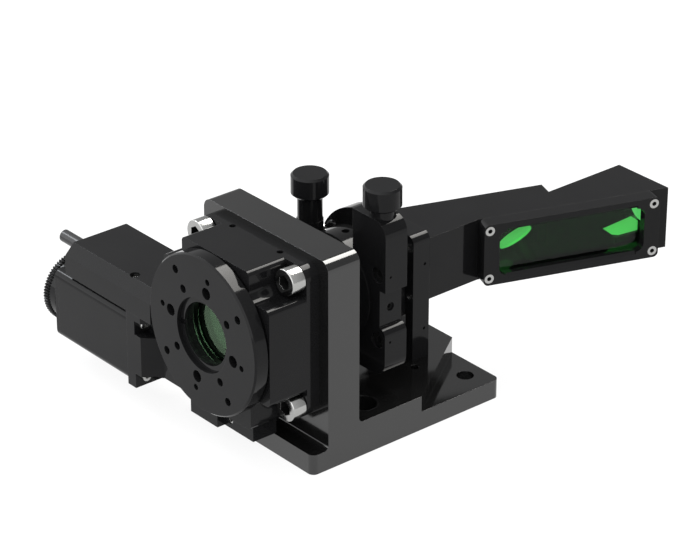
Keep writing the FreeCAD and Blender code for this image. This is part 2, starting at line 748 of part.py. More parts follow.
def make_worm():
    half = "worm_length / 2"
    bore = "worm_shaft_radius + fit_gap"
    barrel = [(bore, "-" + half), ("worm_radius", "-" + half)]
    for turn in range(-5, 6):
        for radius, shift in (("worm_radius", "- thread_depth"), ("worm_radius - thread_depth", ""),
                              ("worm_radius", "+ thread_depth")):
            barrel.append((radius, "thread_pitch * %d %s" % (turn, shift)))
    piece("worm", turned("X", barrel + [("worm_radius", half), (bore, half)], WORM))
    piece("worm_shaft", rod("X", "worm_shaft_radius", "worm_shaft_start", "worm_tunnel_end - fit_gap",
                            WORM))
    ends = [("worm_tunnel_end - worm_bearing_width", "worm_tunnel_end"),
            ("-lobe_half", "-lobe_half + worm_bearing_width")]
    piece("worm_bearings", group(*[ring("X", "worm_tunnel - fit_gap", "worm_shaft_radius + fit_gap", a, b,
                                        WORM)
                                   for a, b in ends]))
    end = "coupling_start + coupling_length"
    middle = "worm_shaft_start - 0.5"
    sleeve = turned("X", [("motor_shaft_radius + fit_gap", "coupling_start"),
                          ("coupling_radius", "coupling_start"),
                          ("coupling_radius", end), ("worm_shaft_radius + fit_gap", end),
                          ("worm_shaft_radius + fit_gap", middle),
                          ("motor_shaft_radius + fit_gap", middle)], WORM)
    slits = []
    for turn in range(4):
        start = "coupling_start + coupling_length * %.2f" % (0.3 + 0.12 * turn)
        slits.append(ring("X", "coupling_radius + 1", "coupling_radius - coupling_slit_depth", start,
                          start + " + coupling_slit", WORM))
    piece("shaft_coupling", carved(sleeve, *slits))
    piece("motor_shaft", rod("X", "motor_shaft_radius", "hand_knob_start + 1", "motor_shaft_end", WORM))
    edge = "hand_knob_edge"
    end = "hand_knob_start + hand_knob_width"
    grip = turned("X", [("motor_shaft_radius + fit_gap", "hand_knob_start"),
                        ("hand_knob_radius - " + edge, "hand_knob_start"),
                        ("hand_knob_radius", "hand_knob_start + " + edge),
                        ("hand_knob_radius", end + " - " + edge),
                        ("hand_knob_radius - " + edge, end), ("motor_shaft_radius + fit_gap", end)], WORM)
    knurls = []
    for number in range(36):
        angle = 10 * number
        spot = ("worm_y + hand_knob_radius * cos(%d * 1deg)" % angle,
                "worm_z + hand_knob_radius * sin(%d * 1deg)" % angle)
        knurls.append(rod("X", "knurl_radius", "hand_knob_start - 1", end + " + 1", spot))
    piece("hand_knob", carved(grip, *knurls))
    block = span(("cover_left", "cover_step"), ("stage_front", "cover_rear"),
                 ("cover_bottom", "axis_height - stage_half - lobe_drop"))
    tail = span(("cover_step", "cover_right"), ("stage_front + cover_setback", "cover_rear"),
                ("cover_bottom", "axis_height - stage_half - lobe_drop"))
    seat = "stage_front + cover_setback"
    hole = rod("Y", "cover_screw_radius + fit_gap", seat + " - 1", seat + " + cover_screw_length",
               ("cover_screw_x", "cover_screw_z"))
    piece("worm_cover", carved(joined(block, tail), hole))
    grub = rod("Y", "cover_screw_radius", seat + " + 0.3", seat + " + cover_screw_length",
               ("cover_screw_x", "cover_screw_z"))
    socket = hexagon("Y", "cover_screw_radius * 0.55", seat, seat + " + 1.8",
                     ("cover_screw_x", "cover_screw_z"))
    piece("worm_cover_screw", carved(grub, socket))


def make_motor():
    box = span((MOTOR_LEFT + " + motor_cap", "motor_right"), (MOTOR_FRONT, MOTOR_REAR),
               ("worm_z - motor_side / 2", MOTOR_TOP))
    box = rounded(box, "motor_edge", (1, 0, 0))
    seat = "motor_right - motor_front_wall"
    cuts = [rod("X", "motor_can", MOTOR_LEFT, seat, WORM),
            rod("X", "motor_bearing_radius + fit_gap", seat + " - 1", seat + " + motor_bearing_width",
                WORM),
            rod("X", "motor_shaft_radius + shaft_room", seat, "motor_right + 1", WORM)]
    offset = "motor_screw_offset"
    spots = [("worm_y + " + y, "worm_z + " + z) for y in both(offset) for z in both(offset)]
    for spot in spots:
        cuts.append(rod("X", "motor_screw_radius + fit_gap", "motor_right - 3.5", "motor_right + 1", spot))
    top_spots = [("top_screw_x", "top_screw_front"), ("top_screw_x", "top_screw_rear")]
    for spot in top_spots:
        cuts.append(rod("Z", "window_screw_radius + fit_gap", MOTOR_TOP + " - top_screw_reach - 0.5",
                        MOTOR_TOP + " + 1", spot))
    piece("motor_housing", carved(box, *cuts))
    cap = span((MOTOR_LEFT, MOTOR_LEFT + " + motor_cap"), (MOTOR_FRONT, MOTOR_REAR),
               ("worm_z - motor_side / 2", MOTOR_TOP))
    cap = rounded(cap, "motor_edge", (1, 0, 0))
    boss = rod("X", "motor_can - fit_gap", MOTOR_LEFT + " + motor_cap",
               MOTOR_LEFT + " + motor_cap + motor_boss", WORM)
    cap_end = MOTOR_LEFT + " + motor_cap + motor_boss"
    piece("motor_end_cap", carved(joined(cap, boss),
                                  rod("X", "motor_bearing_radius + fit_gap",
                                      cap_end + " - motor_bearing_width",
                                      cap_end + " + 1", WORM),
                                  rod("X", "motor_shaft_radius + shaft_room", MOTOR_LEFT + " - 1",
                                      cap_end, WORM)))
    ends = [(cap_end + " - motor_bearing_width", cap_end), (seat, seat + " + motor_bearing_width")]
    piece("motor_bearings", group(*[ring("X", "motor_bearing_radius", "motor_shaft_radius + fit_gap", a,
                                         b, WORM)
                                    for a, b in ends]))
    stack_end = "stack_start + stack_length"
    piece("motor_rotor", ring("X", "rotor_radius", "motor_shaft_radius + fit_gap", "stack_start",
                              stack_end, WORM))
    piece("motor_stator", ring("X", "motor_can - fit_gap", "stator_inner", "stack_start", stack_end, WORM))
    flange_end = "motor_right + adaptor_plate"
    plate = span(("motor_right", flange_end), (MOTOR_FRONT, MOTOR_REAR),
                 ("adaptor_plate_bottom", "adaptor_top"))
    corner = [("motor_right", MOTOR_FRONT), ("adaptor_corner_x", MOTOR_FRONT),
              ("adaptor_corner_x + (adaptor_corner_y - %s)" % MOTOR_FRONT, "adaptor_corner_y"),
              ("adaptor_right", "adaptor_corner_y"), ("adaptor_right", MOTOR_REAR),
              ("motor_right", MOTOR_REAR)]
    block = prism("XY_Plane", corner, "adaptor_top - adaptor_bottom", z="adaptor_bottom")
    arm = span(("adaptor_right - 1", "-lobe_half - adaptor_arm_gap"),
               ("stage_front", FLANGE_FRONT + " - adaptor_arm_gap"),
               ("adaptor_bottom", "adaptor_arm_top"))
    arm = rounded(arm, "lobe_hollow", (0, 1, 0),
                  lambda m: m.x > sheet.adaptor_right and m.z > sheet.axis_height - sheet.lobe_half - 1)
    cuts = [rod("X", "coupling_radius + coupling_room", "motor_right - 1",
                "coupling_start + coupling_length + 1", WORM),
            rod("X", "worm_shaft_radius + shaft_room", "coupling_start + coupling_length",
                "-lobe_half + 1", WORM),
            rod("Y", "stage_bolt_head + shaft_room", FLANGE_FRONT + " - stage_bolt_head_height - 1",
                MOTOR_REAR + " + 1",
                ("-stage_bolt_offset", "axis_height - stage_bolt_offset")),
            span((flange_end, "adaptor_right + 1"), (MOTOR_FRONT + " - 1", MOTOR_FRONT + " + slot_depth"),
                 ("slot_bottom", "slot_top"))]
    for spot in spots:
        cuts.append(rod("X", "motor_screw_radius + fit_gap", "motor_right - 1", flange_end + " + 1", spot))
        cuts.append(rod("X", "motor_screw_head + fit_gap", flange_end, flange_end + " + 12", spot))
    for x in ("adaptor_screw_left", "adaptor_screw_right"):
        cuts.append(rod("Z", "motor_screw_radius + fit_gap", "adaptor_bottom - 1", "adaptor_arm_top + 1",
                        (x, "adaptor_screw_y")))
        cuts.append(rod("Z", "motor_screw_head + fit_gap", "adaptor_bottom - 1",
                        "adaptor_bottom + motor_screw_head_height", (x, "adaptor_screw_y")))
    piece("motor_adaptor", carved(joined(plate, block, arm), *cuts))
    screws = [screw("X", -1, flange_end, "adaptor_plate + 3", "motor_screw_radius", "motor_screw_head",
                    "motor_screw_head_height", spot) for spot in spots]
    piece("motor_screws", group(*screws))
    seat = "adaptor_bottom + motor_screw_head_height"
    reach = "axis_height - lobe_half + adaptor_screw_reach - (%s)" % seat
    piece("adaptor_screws", group(*[screw("Z", 1, seat, reach, "motor_screw_radius", "motor_screw_head",
                                          "motor_screw_head_height", (x, "adaptor_screw_y"))
                                    for x in ("adaptor_screw_left", "adaptor_screw_right")]))
    make_driver(top_spots)


def make_driver(top_spots):
    section = [(MOTOR_FRONT, "adaptor_top"), ("driver_rear", "adaptor_top"), ("driver_rear", DRIVER_TOP),
               (MOTOR_FRONT + " + driver_bevel", DRIVER_TOP), (MOTOR_FRONT, DRIVER_TOP + " - driver_bevel")]
    shell = prism("YZ_Plane", section, "driver_right - driver_left", x="driver_left")
    room = span(("driver_left + driver_wall", "driver_right - driver_solid"),
                (MOTOR_FRONT + " + driver_bevel", "driver_rear - driver_wall"),
                ("adaptor_top - 1", DRIVER_TOP + " - driver_wall"))
    head_seat = DRIVER_TOP + " - top_screw_recess - window_screw_head_height"
    cuts = [room]
    for spot in top_spots:
        cuts.append(rod("Z", "window_screw_radius + fit_gap", "adaptor_top - 1", DRIVER_TOP, spot))
        cuts.append(rod("Z", "window_screw_head + fit_gap", head_seat, DRIVER_TOP + " + 1", spot))
    cuts.append(rod("X", "outlet_bore", "driver_left - 1", "driver_left + driver_wall + 1",
                    ("outlet_y", "outlet_z")))
    piece("driver_housing", carved(shell, *cuts))
    sheet_left = "driver_left + gasket_inset"
    gasket = span((sheet_left, "motor_right - fit_gap"),
                  (MOTOR_FRONT + " + gasket_inset", MOTOR_REAR + " - gasket_inset"),
                  (MOTOR_TOP, "adaptor_top"))
    piece("driver_gasket", carved(gasket, *[rod("Z", "window_screw_radius + fit_gap", MOTOR_TOP + " - 1",
                                                "adaptor_top + 1", spot) for spot in top_spots]))
    piece("cover_screws", group(*[screw("Z", -1, head_seat,
                                        "%s - (%s) + top_screw_reach" % (head_seat, MOTOR_TOP),
                                        "window_screw_radius", "window_screw_head",
                                        "window_screw_head_height", spot)
                                  for spot in top_spots]))
    middle_x = "(driver_left + driver_right - driver_solid + driver_wall) / 2"
    low = "adaptor_top + board_lift"
    piece("driver_board", span((middle_x + " - board_length / 2", middle_x + " + board_length / 2"),
                               ("worm_y - board_width / 2", "worm_y + board_width / 2"),
                               (low, low + " + board_thickness")))
    posts = []
    for x in both("(board_length / 2 - standoff_radius)"):
        for y in both("(board_width / 2 - standoff_radius)"):
            posts.append(rod("Z", "standoff_radius", "adaptor_top", low,
                             (middle_x + " + " + x, "worm_y + " + y)))
    piece("board_standoffs", group(*posts))
    end = "driver_left - outlet_length"
    piece("cable_outlet", ring("X", "outlet_radius", "outlet_bore", end, "driver_left",
                               ("outlet_y", "outlet_z")))


def make_mount():
    depth = "mount_thickness"
    low = "mount_bottom"
    section = [("-mount_half", low), ("mount_half", low), ("mount_half", "notch_bottom"),
               ("mount_half - notch_depth", "notch_bottom"), ("mount_half - notch_depth", "notch_top"),
               ("mount_half", "notch_top"), ("mount_half", "column_top"), ("column_left", "column_top"),
               ("column_left", "mount_top"), ("-mount_half", "mount_top")]
    plate = prism("XZ_Plane", section, depth, y="mount_rear")
    foot = sheet.axis_height - sheet.cell_radius
    plate = rounded(plate, "mount_foot_round", (0, 1, 0), lambda m: m.z < foot)
    crest = sheet.axis_height + sheet.column_rise - 0.01
    plate = rounded(plate, "column_round", (0, 1, 0),
                    lambda m: m.z > crest and m.x > sheet.column_left + 1)
    ledge = sheet.axis_height - sheet.notch_drop
    plate = rounded(plate, "notch_round", (0, 1, 0),
                    lambda m: abs(m.z - ledge) < 0.01 and abs(m.x - sheet.mount_half) < 0.01)
    boss = rod("Z", "boss_radius", "mount_top - 1", "mount_top + boss_height",
               ("-adjuster_x", "adjuster_y"))
    plate = joined(plate, boss)
    cuts = [rod("Y", "cell_radius + cell_gap", MOUNT_FRONT + " - 1", "mount_rear + 1", BEAM)]
    sides = [("adjuster_x", "bushing_a_bottom", "column_top"),
             ("-adjuster_x", "bushing_b_bottom", "mount_top + boss_height")]
    for x, low, top in sides:
        cuts.append(rod("Z", "bushing_radius", low, top + " + 1", (x, "adjuster_y")))
        cuts.append(rod("Z", "adjuster_screw + ball_room", "adjuster_tip_bottom - 1", low + " + 1",
                        (x, "adjuster_y")))
        cuts.append(rod("Y", "rest_ball + ball_room", "mount_rear - ball_room_depth", "mount_rear + 1",
                        (x, "rest_ball_z")))
    for x in both("spring_x"):
        cuts.append(rod("Y", "spring_radius + spring_room", "spring_end - 1.2", "mount_rear + 1",
                        (x, "spring_z")))
    cuts.append(rod("Y", "rest_ball + ball_room", "mount_rear - ball_room_depth", "mount_rear + 1",
                    ("0", "pivot_z")))
    plugs = [("plug_x", "plug_low"), ("-plug_x", "plug_low"), ("plug_x", "plug_high")]
    for spot in plugs:
        cuts.append(rod("Y", "plug_radius + fit_gap", MOUNT_FRONT + " - 1", MOUNT_FRONT + " + plug_depth",
                        spot))
    cuts.append(rod("X", "clamp_radius", "cell_radius", "mount_half + 1", ("adjuster_y", "clamp_z")))
    for z in ("plug_low", "plug_high"):
        cuts.append(rod("X", "side_pin_hole", "mount_half - side_pin_depth", "mount_half + 1",
                        ("side_pin_y", z)))
    piece("mount_plate", carved(plate, *cuts))
    piece("mount_plugs", group(*[carved(rod("Y", "plug_radius", MOUNT_FRONT + " + plug_inset",
                                            MOUNT_FRONT + " + plug_depth", spot),
                                        hexagon("Y", "plug_radius * 0.5", MOUNT_FRONT,
                                                MOUNT_FRONT + " + plug_depth - 0.4", spot))
                                 for spot in plugs]))
    front, rear = "cell_front", "cell_front + cell_depth"
    optic = "cell_front + polarizer_inset"
    cell = [("cell_bore", front), ("cell_radius", front), ("cell_radius", rear), ("cell_shoulder", rear),
            ("cell_shoulder", optic + " + polarizer_thickness"),
            ("cell_bore", optic + " + polarizer_thickness")]
    pin = ("0", "adjuster_y")
    piece("polarizer_cell", carved(turned("Y", cell, BEAM),
                                   rod("Z", "cell_hole_radius",
                                       "axis_height + cell_radius - cell_hole_depth",
                                       "axis_height + cell_radius + 1", pin)))
    piece("entrance_polarizer", rod("Y", "cell_bore - fit_gap", optic, optic + " + polarizer_thickness",
                                    BEAM))
    clamp = ("adjuster_y", "clamp_z")
    piece("clamp_screw", carved(rod("X", "clamp_radius - fit_gap", "cell_radius + cell_gap / 2",
                                    "mount_half - notch_depth - 0.8", clamp),
                                hexagon("X", "clamp_radius * 0.55", "mount_half - notch_depth - 3",
                                        "mount_half", clamp)))
    sleeves = []
    ends = [("adjuster_x", "bushing_a_bottom", "knob_a_bottom - bushing_gap"),
            ("-adjuster_x", "bushing_b_bottom", "knob_b_bottom - bushing_gap")]
    for x, low, top in ends:
        sleeves.append(ring("Z", "bushing_radius", "adjuster_screw + fit_gap", low, top,
                            (x, "adjuster_y")))
    piece("adjuster_bushings", group(*sleeves))
    make_knob("a", "adjuster_x")
    make_knob("b", "-adjuster_x")


def make_knob(letter, x):
    axis = (x, "adjuster_y")
    bottom = "knob_%s_bottom" % letter
    guide = "bushing_%s_bottom" % letter
    bore = "adjuster_screw + fit_gap"
    grip = bottom + " + knob_taper"
    top = grip + " + knob_grip"
    roof = top + " - knob_cap"
    piece("adjuster_knob_" + letter,
          turned("Z", [(bore, bottom), ("knob_radius - knob_taper", bottom), ("knob_radius", grip),
                       ("knob_radius", top + " - knob_edge"), ("knob_radius - knob_edge", top),
                       ("0", top), ("0", roof), (bore, roof)], axis))
    piece("adjuster_screw_" + letter,
          turned("Z", [("0", "adjuster_tip_bottom"), ("adjuster_tip", "adjuster_tip_bottom"),
                       ("adjuster_screw", guide), ("adjuster_screw", roof), ("0", roof)], axis))


def make_flange():
    disc = rod("Y", "flange_radius", "flange_front", "flange_rear", BEAM)
    outside = "flange_radius + 1"
    tall = ("axis_height - %s" % outside, "axis_height + " + outside)
    # On the right only a thin web is left, to carry the ball and the spring behind the column.
    away = [span(("flange_side", outside), ("flange_front + flange_web", "flange_rear + 1"), tall),
            span(("flange_web_reach", outside), ("flange_front - 1", "flange_rear + 1"), tall),
            span(("flange_web_notch", outside), ("flange_front - 1", "flange_rear + 1"),
                 ("notch_bottom - 1", "notch_top + 1.5"))]
    spacer = span(("-spacer_half", "spacer_half"), ("flange_rear", "rear_front"),
                  ("axis_height - spacer_drop", "axis_height + spacer_rise"))
    body = joined(carved(disc, *away), spacer)
    spots = [(x, "flange_screw_z") for x in both("flange_screw_x")]
    holes = [rod("Y", "rear_bore", "flange_front - 1", "rear_front + 1", BEAM)]
    for spot in spots:
        holes.append(rod("Y", "small_screw + fit_gap", "rear_front - 9", "rear_front + 1", spot))
    piece("pivot_flange", carved(body, *holes))
    centre_y = "flange_front - rest_ball"
    piece("adjuster_balls", group(*[ball("rest_ball", x, centre_y,
                                         "rest_ball_z") for x in both("adjuster_x")]))
    piece("pivot_ball", ball("rest_ball", "0", centre_y + " - fit_gap", "pivot_z"))
    springs = []
    for x in both("spring_x"):
        coil = ring("Y", "spring_radius", "spring_radius - 2 * spring_wire", "spring_end", "flange_front",
                    (x, "spring_z"))
        grooves = []
        for turn in range(9):
            groove = doc.addObject("Part::Torus", "Coil")
            groove.setExpression("Radius1", bound("spring_radius + spring_wire / 3"))
            groove.setExpression("Radius2", bound("spring_wire"))
            station = "spring_end + (flange_front - spring_end) * %.2f" % (0.1 + 0.1 * turn)
            grooves.append(along(groove, "Y", station, (x, "spring_z")))
        springs.append(carved(coil, *grooves))
    piece("return_springs", group(*springs))
    plate = span(("-rear_half", "rear_half"), ("rear_front", REAR_BACK), ("base_height", "rear_top"))
    plate = rounded(plate, "rear_round", (0, 1, 0), lambda m: m.z > sheet.axis_height)
    cuts = [rod("Y", "rear_bore", "rear_front - 1", REAR_BACK + " + 1", BEAM)]
    for z in ("rear_side_high", "rear_side_low"):
        cuts.append(rod("X", "rear_side_hole", "rear_half - rear_side_depth", "rear_half + 1",
                        ("rear_side_y", z)))
    for spot in spots:
        cuts.append(rod("Y", "small_screw + fit_gap", "rear_front - 1", REAR_BACK, spot))
        cuts.append(rod("Y", "small_head + fit_gap", REAR_BACK + " - small_head_height",
                        REAR_BACK + " + 1", spot))
    middle = "rear_front + rear_thickness / 2"
    for x in both("rear_screw_x"):
        cuts.append(rod("Z", "rear_screw_radius + fit_gap", "base_height - 1", "rear_screw_top + 0.5",
                        (x, middle)))
    arm_spots = [(x, "axis_height + " + z) for x in both("arm_screw_x") for z in both("arm_screw_z")]
    for spot in arm_spots:
        cuts.append(rod("Y", "arm_screw_radius + fit_gap", "rear_front - 1", REAR_BACK + " + 1", spot))
        cuts.append(rod("Y", "arm_screw_head + fit_gap", "rear_front - 1",
                        "rear_front + arm_screw_head_height", spot))
    piece("rear_plate", carved(plate, *cuts))
    piece("flange_screws", group(*[screw("Y", -1, REAR_BACK + " - small_head_height",
                                         "rear_thickness + 5", "small_screw",
                                         "small_head", "small_head_height", spot) for spot in spots]))
    seat = "rear_screw_recess + rear_screw_head_height"
    piece("rear_plate_screws", group(*[screw("Z", 1, seat, "rear_screw_top - (%s)" % seat,
                                             "rear_screw_radius",
                                             "rear_screw_head", "rear_screw_head_height", (x, middle))
                                       for x in both("rear_screw_x")]))
    seat = "rear_front + arm_screw_head_height"
    reach = "rear_thickness - arm_screw_head_height + arm_screw_reach"
    piece("arm_screws", group(*[screw("Y", 1, seat, reach, "arm_screw_radius", "arm_screw_head",
                                      "arm_screw_head_height", spot) for spot in arm_spots]))
    return arm_spots


def slanted(run, out):
    """X and Y of a point that lies along the slanted side and out from it."""
    x = "(rear_half + (%s) * %s + (%s) * %s)" % (run, SINE, out, COSINE)
    y = "(arm_turn + (%s) * %s - (%s) * %s)" % (run, COSINE, out, SINE)
    return (x, y)


def slanted_box(run, out, z):
    """Box that follows the slanted side: along it, out from it, and up."""
    corners = [slanted(run[0], out[1]), slanted(run[1], out[1]), slanted(run[1], out[0]),
               slanted(run[0], out[0])]
    return prism("XY_Plane", corners, "(%s) - (%s)" % (z[1], z[0]), z=z[0])


def slanted_rod(radius, run, start, end, z):
    """Cylinder square to the slanted side, between two distances out from it."""
    shape = doc.addObject("Part::Cylinder", "Rod")
    shape.setExpression("Radius", bound(radius))
    shape.setExpression("Height", bound("(%s) - (%s)" % (end, start)))
    turn = FreeCAD.Rotation(FreeCAD.Vector(0, 0, 1), -sheet.arm_slant)
    shape.Placement = FreeCAD.Placement(FreeCAD.Vector(), turn * X_AXIS)
    x, y = slanted(run, start)
    return place(shape, x, y, z)


def make_arm(arm_spots):
    far = "(-arm_width)"
    # The far side runs parallel to the window side and ends where the outlet block begins.
    end_run = "((arm_back - rear_half + arm_width * %s) / %s)" % (COSINE, SINE)
    far_end = slanted(end_run, far)
    start_run = "((-rear_half - rear_half + arm_width * %s) / %s)" % (COSINE, SINE)
    far_start = slanted(start_run, far)
    step_out = "(-arm_width + (outlet_left - arm_back) / %s)" % COSINE
    step = slanted(end_run, step_out)
    end_x = "(rear_half + (arm_end - arm_turn) * %s)" % TANGENT
    plan = [("-rear_half", REAR_BACK), ("rear_half", REAR_BACK), ("rear_half", "arm_turn"),
            (end_x, "arm_end"), ("outlet_left", "arm_end"),
            step, far_end, far_start]
    shell = prism("XY_Plane", plan, "arm_height", z="arm_bottom")
    low, high = "arm_bottom + arm_floor", ARM_TOP + " - arm_floor"
    inner = "-arm_wall"
    inner_far = "(arm_wall - arm_width)"
    inner_end = "(%s - arm_wall)" % end_run
    inner_step = "(%s + (outlet_left + arm_wall - %s) / %s)" % (inner_far,
                                                                slanted(inner_end, inner_far)[0], COSINE)
    neck_run = "((arm_neck - rear_half + arm_wall * %s) / %s)" % (COSINE, SINE)
    neck_far_run = "((-arm_neck - rear_half - %s * %s) / %s)" % (inner_far, COSINE, SINE)
    end_y = "arm_end - arm_end_wall"
    hollow = [("-arm_neck", REAR_BACK + " - 1"), ("arm_neck", REAR_BACK + " - 1"), slanted(neck_run, inner),
              slanted("arm_rim_end", inner), ("exit_x + exit_radius + exit_room", end_y),
              ("outlet_left + arm_wall", end_y), slanted(inner_end, inner_step),
              slanted(inner_end, inner_far),
              slanted(neck_far_run, inner_far)]
    room = prism("XY_Plane", hollow, "(%s) - (%s)" % (high, low), z=low)
    mouth = slanted_box(("arm_rim_start", "arm_rim_end"), ("-arm_wall - 1", "1"), (low, high))
    cuts = [room, mouth,
            rod("Y", "exit_radius", "arm_end - arm_end_wall - 1", "arm_end + 1", ("exit_x", "axis_height"))]
    for spot in arm_spots:
        cuts.append(rod("Y", "arm_screw_radius + fit_gap", REAR_BACK + " - 1",
                        REAR_BACK + " + arm_screw_reach + 0.5", spot))
    middle = "frame_length / 2"
    screw_spots = [(middle + " + " + run, "axis_height + " + z) for run in both("(window_screw_pitch / 2)")
                   for z in both("(window_screw_rise / 2)")]
    for run, z in screw_spots:
        cuts.append(slanted_rod("window_screw_radius + fit_gap", run, "-window_screw_reach - 0.5", "1", z))
    piece("arm_housing", carved(shell, *cuts))
    frame = slanted_box(("0", "frame_length"), ("0", "frame_thickness"), ("arm_bottom", ARM_TOP))
    slant = FreeCAD.Rotation(FreeCAD.Vector(0, 0, 1), -sheet.arm_slant)
    frame = rounded(frame, "frame_corner", slant.multVec(FreeCAD.Vector(1, 0, 0)))
    half_run, half_rise = "sight_length / 2", "sight_height / 2"
    sight = slanted_box((middle + " - " + half_run, middle + " + " + half_run),
                        ("-1", "frame_thickness + 1"),
                        ("axis_height - " + half_rise, "axis_height + " + half_rise))
    sight = rounded(sight, "sight_corner", slant.multVec(FreeCAD.Vector(1, 0, 0)))
    rebate_run = "(sight_length / 2 + glass_rebate)"
    rebate_rise = "(sight_height / 2 + glass_rebate / 2)"
    rebate = slanted_box((middle + " - " + rebate_run, middle + " + " + rebate_run),
                         ("-1", "glass_setback + glass_thickness"),
                         ("axis_height - " + rebate_rise, "axis_height + " + rebate_rise))
    bevels = []
    for rise in (1, -1):
        bevels.append(slanted_bevel(rise, half_run, half_rise, middle))
    cuts = [sight, rebate] + bevels
    for run, z in screw_spots:
        cuts.append(slanted_rod("window_screw_radius + fit_gap", run, "-1", "frame_thickness + 1", z))
        cuts.append(slanted_rod("window_screw_head + fit_gap", run,
                                "frame_thickness - window_screw_sink - window_screw_head_height",
                                "frame_thickness + 1", z))
    piece("window_frame", carved(frame, *cuts))
    glass_run = rebate_run + " - fit_gap"
    glass_rise = rebate_rise + " - fit_gap"
    piece("window_glass", slanted_box((middle + " - (%s)" % glass_run, middle + " + " + glass_run),
                                      ("glass_setback", "glass_setback + glass_thickness"),
                                      ("axis_height - (%s)" % glass_rise, "axis_height + " + glass_rise)))
    screws = []
    seat = "frame_thickness - window_screw_sink - window_screw_head_height"
    for run, z in screw_spots:
        body = joined(slanted_rod("window_screw_radius", run, "-window_screw_reach", seat, z),
                      slanted_rod("window_screw_head", run, seat, "frame_thickness - window_screw_sink", z))
        screws.append(carved(body, slanted_rod("window_screw_head * 0.45", run, "frame_thickness - 1.6",
                                               "frame_thickness + 1", z)))
    piece("window_screws", group(*screws))


def slanted_bevel(rise, half_run, half_rise, middle):
    """Sloping face along the upper or lower edge of the sight opening."""
    body = doc.addObject("PartDesign::Body", "Bevel")
    edge = "sight_bevel"
    points = [("-1", "0"), ("frame_thickness + 1", "0"),
              ("frame_thickness + 1", "%d * (%s + %s + 1)" % (rise, half_rise, edge)),
              ("frame_thickness - %s" % edge, "%d * (%s)" % (rise, half_rise)),
              ("-1", "%d * (%s)" % (rise, half_rise))]
    sketch = outline(body, "XZ_Plane", points)
    pad = body.newObject("PartDesign::Pad", "Pad")
    pad.Profile = sketch
    pad.setExpression("Length", bound("sight_length - 2 * sight_corner"))
    turn = FreeCAD.Rotation(FreeCAD.Vector(0, 0, 1), -sheet.arm_slant)
    body.Placement = FreeCAD.Placement(FreeCAD.Vector(), turn)
    x, y = slanted("%s + %s - sight_corner" % (middle, half_run), "0")
    return place(body, x, y, "axis_height")


def make_optics():
    floor = "(arm_bottom + arm_floor)"
    # The disc leans back over its post, whose foot stands on the arm's floor.
    heading = FreeCAD.Rotation(FreeCAD.Vector(0, 0, 1), sheet.disc_heading)
    lean = heading * FreeCAD.Rotation(FreeCAD.Vector(0, 1, 0), sheet.disc_lean)
    spot = ("disc_x", "disc_y", "disc_z")
    disc = doc.addObject("Part::Cylinder", "Disc")
    disc.setExpression("Radius", bound("disc_radius"))
    disc.setExpression("Height", bound("disc_thickness"))
    disc.Placement = FreeCAD.Placement(FreeCAD.Vector(), lean)
    piece("polarizer_disc", place(disc, *spot))
    post = doc.addObject("Part::Cylinder", "Post")
    post.setExpression("Radius", bound("post_radius"))
    post.setExpression("Height", bound("(disc_z - %s) * 2" % floor))
    post.Placement = FreeCAD.Placement(FreeCAD.Vector(),
                                       lean * FreeCAD.Rotation(FreeCAD.Vector(1, 0, 0), 180))
    place(post, *spot)
    under = span(("disc_x - arm_width", "disc_x + arm_width"), ("disc_y - arm_width", "disc_y + arm_width"),
                 (floor + " - arm_height", floor))
    piece("disc_post", carved(post, under))
    # The plate stands on edge on a block, at half the arm's slant to the beam.
    turn = FreeCAD.Rotation(FreeCAD.Vector(0, 0, 1), -sheet.arm_slant / 2)
    body = doc.addObject("PartDesign::Body", "Plate")
    sketch = outline(body, "YZ_Plane", [("-optic_reach", "optic_tip"),
                                        ("-optic_reach * 0.6", "optic_foot + 1"),
                                        ("-optic_reach * 0.25", "optic_foot"),
                                        ("optic_reach * 0.75", "optic_foot"),
                                        ("optic_reach * 0.75", "optic_tip"),
                                        ("optic_reach * 0.45", "optic_top")])
    pad = body.newObject("PartDesign::Pad", "Pad")
    pad.Profile = sketch
    pad.setExpression("Length", bound("optic_thickness"))
    body.Placement = FreeCAD.Placement(FreeCAD.Vector(), turn)
    piece("polarizer_plate", place(body, "exit_x", "optic_y", "axis_height"))
    holder = doc.addObject("Part::Box", "Holder")
    holder.setExpression("Length", bound("holder_depth"))
    holder.setExpression("Width", bound("holder_length"))
    holder.setExpression("Height", bound("axis_height + optic_foot - %s" % floor))
    holder.Placement = FreeCAD.Placement(FreeCAD.Vector(), turn)
    half = "arm_slant / 2 * 1deg"
    x = "exit_x - holder_depth / 2 * cos(%s) - holder_length * 0.45 * sin(%s)" % (half, half)
    y = "optic_y + holder_depth / 2 * sin(%s) - holder_length * 0.45 * cos(%s)" % (half, half)
    piece("plate_holder", place(holder, x, y, floor))


def export():
    doc.recompute()
    for item in doc.Objects:
        if "Invalid" in item.State or "Error" in item.State:
            raise RuntimeError("%s (%s) failed: %s" % (item.Name, item.Label, item.State))
    os.makedirs("parts", exist_ok=True)
    for item in pieces:
        shape = item.Shape
        if shape.isNull() or not shape.isValid():
            raise RuntimeError("%s has no valid shape" % item.Label)
        if any(solid.Volume <= 0 for solid in shape.Solids) or not shape.Solids:
            raise RuntimeError("%s has no solid" % item.Label)
    for item in pieces:
        item.Shape.exportStep("parts/%s.step" % item.Label)
        print("%-26s solids %2d  volume %10.1f" % (item.Label, len(item.Shape.Solids), item.Shape.Volume))


make_bracket()
make_stage()
make_platform()
make_worm()
make_motor()
make_mount()
make_arm(make_flange())
make_optics()
export()
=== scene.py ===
"""Motorized variable attenuator: finishes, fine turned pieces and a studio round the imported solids."""

import json
import logging
import math
from dataclasses import dataclass, field, replace
from enum import Enum
from typing import Iterable, Sequence

import bmesh
import bpy
from mathutils import Matrix, Vector

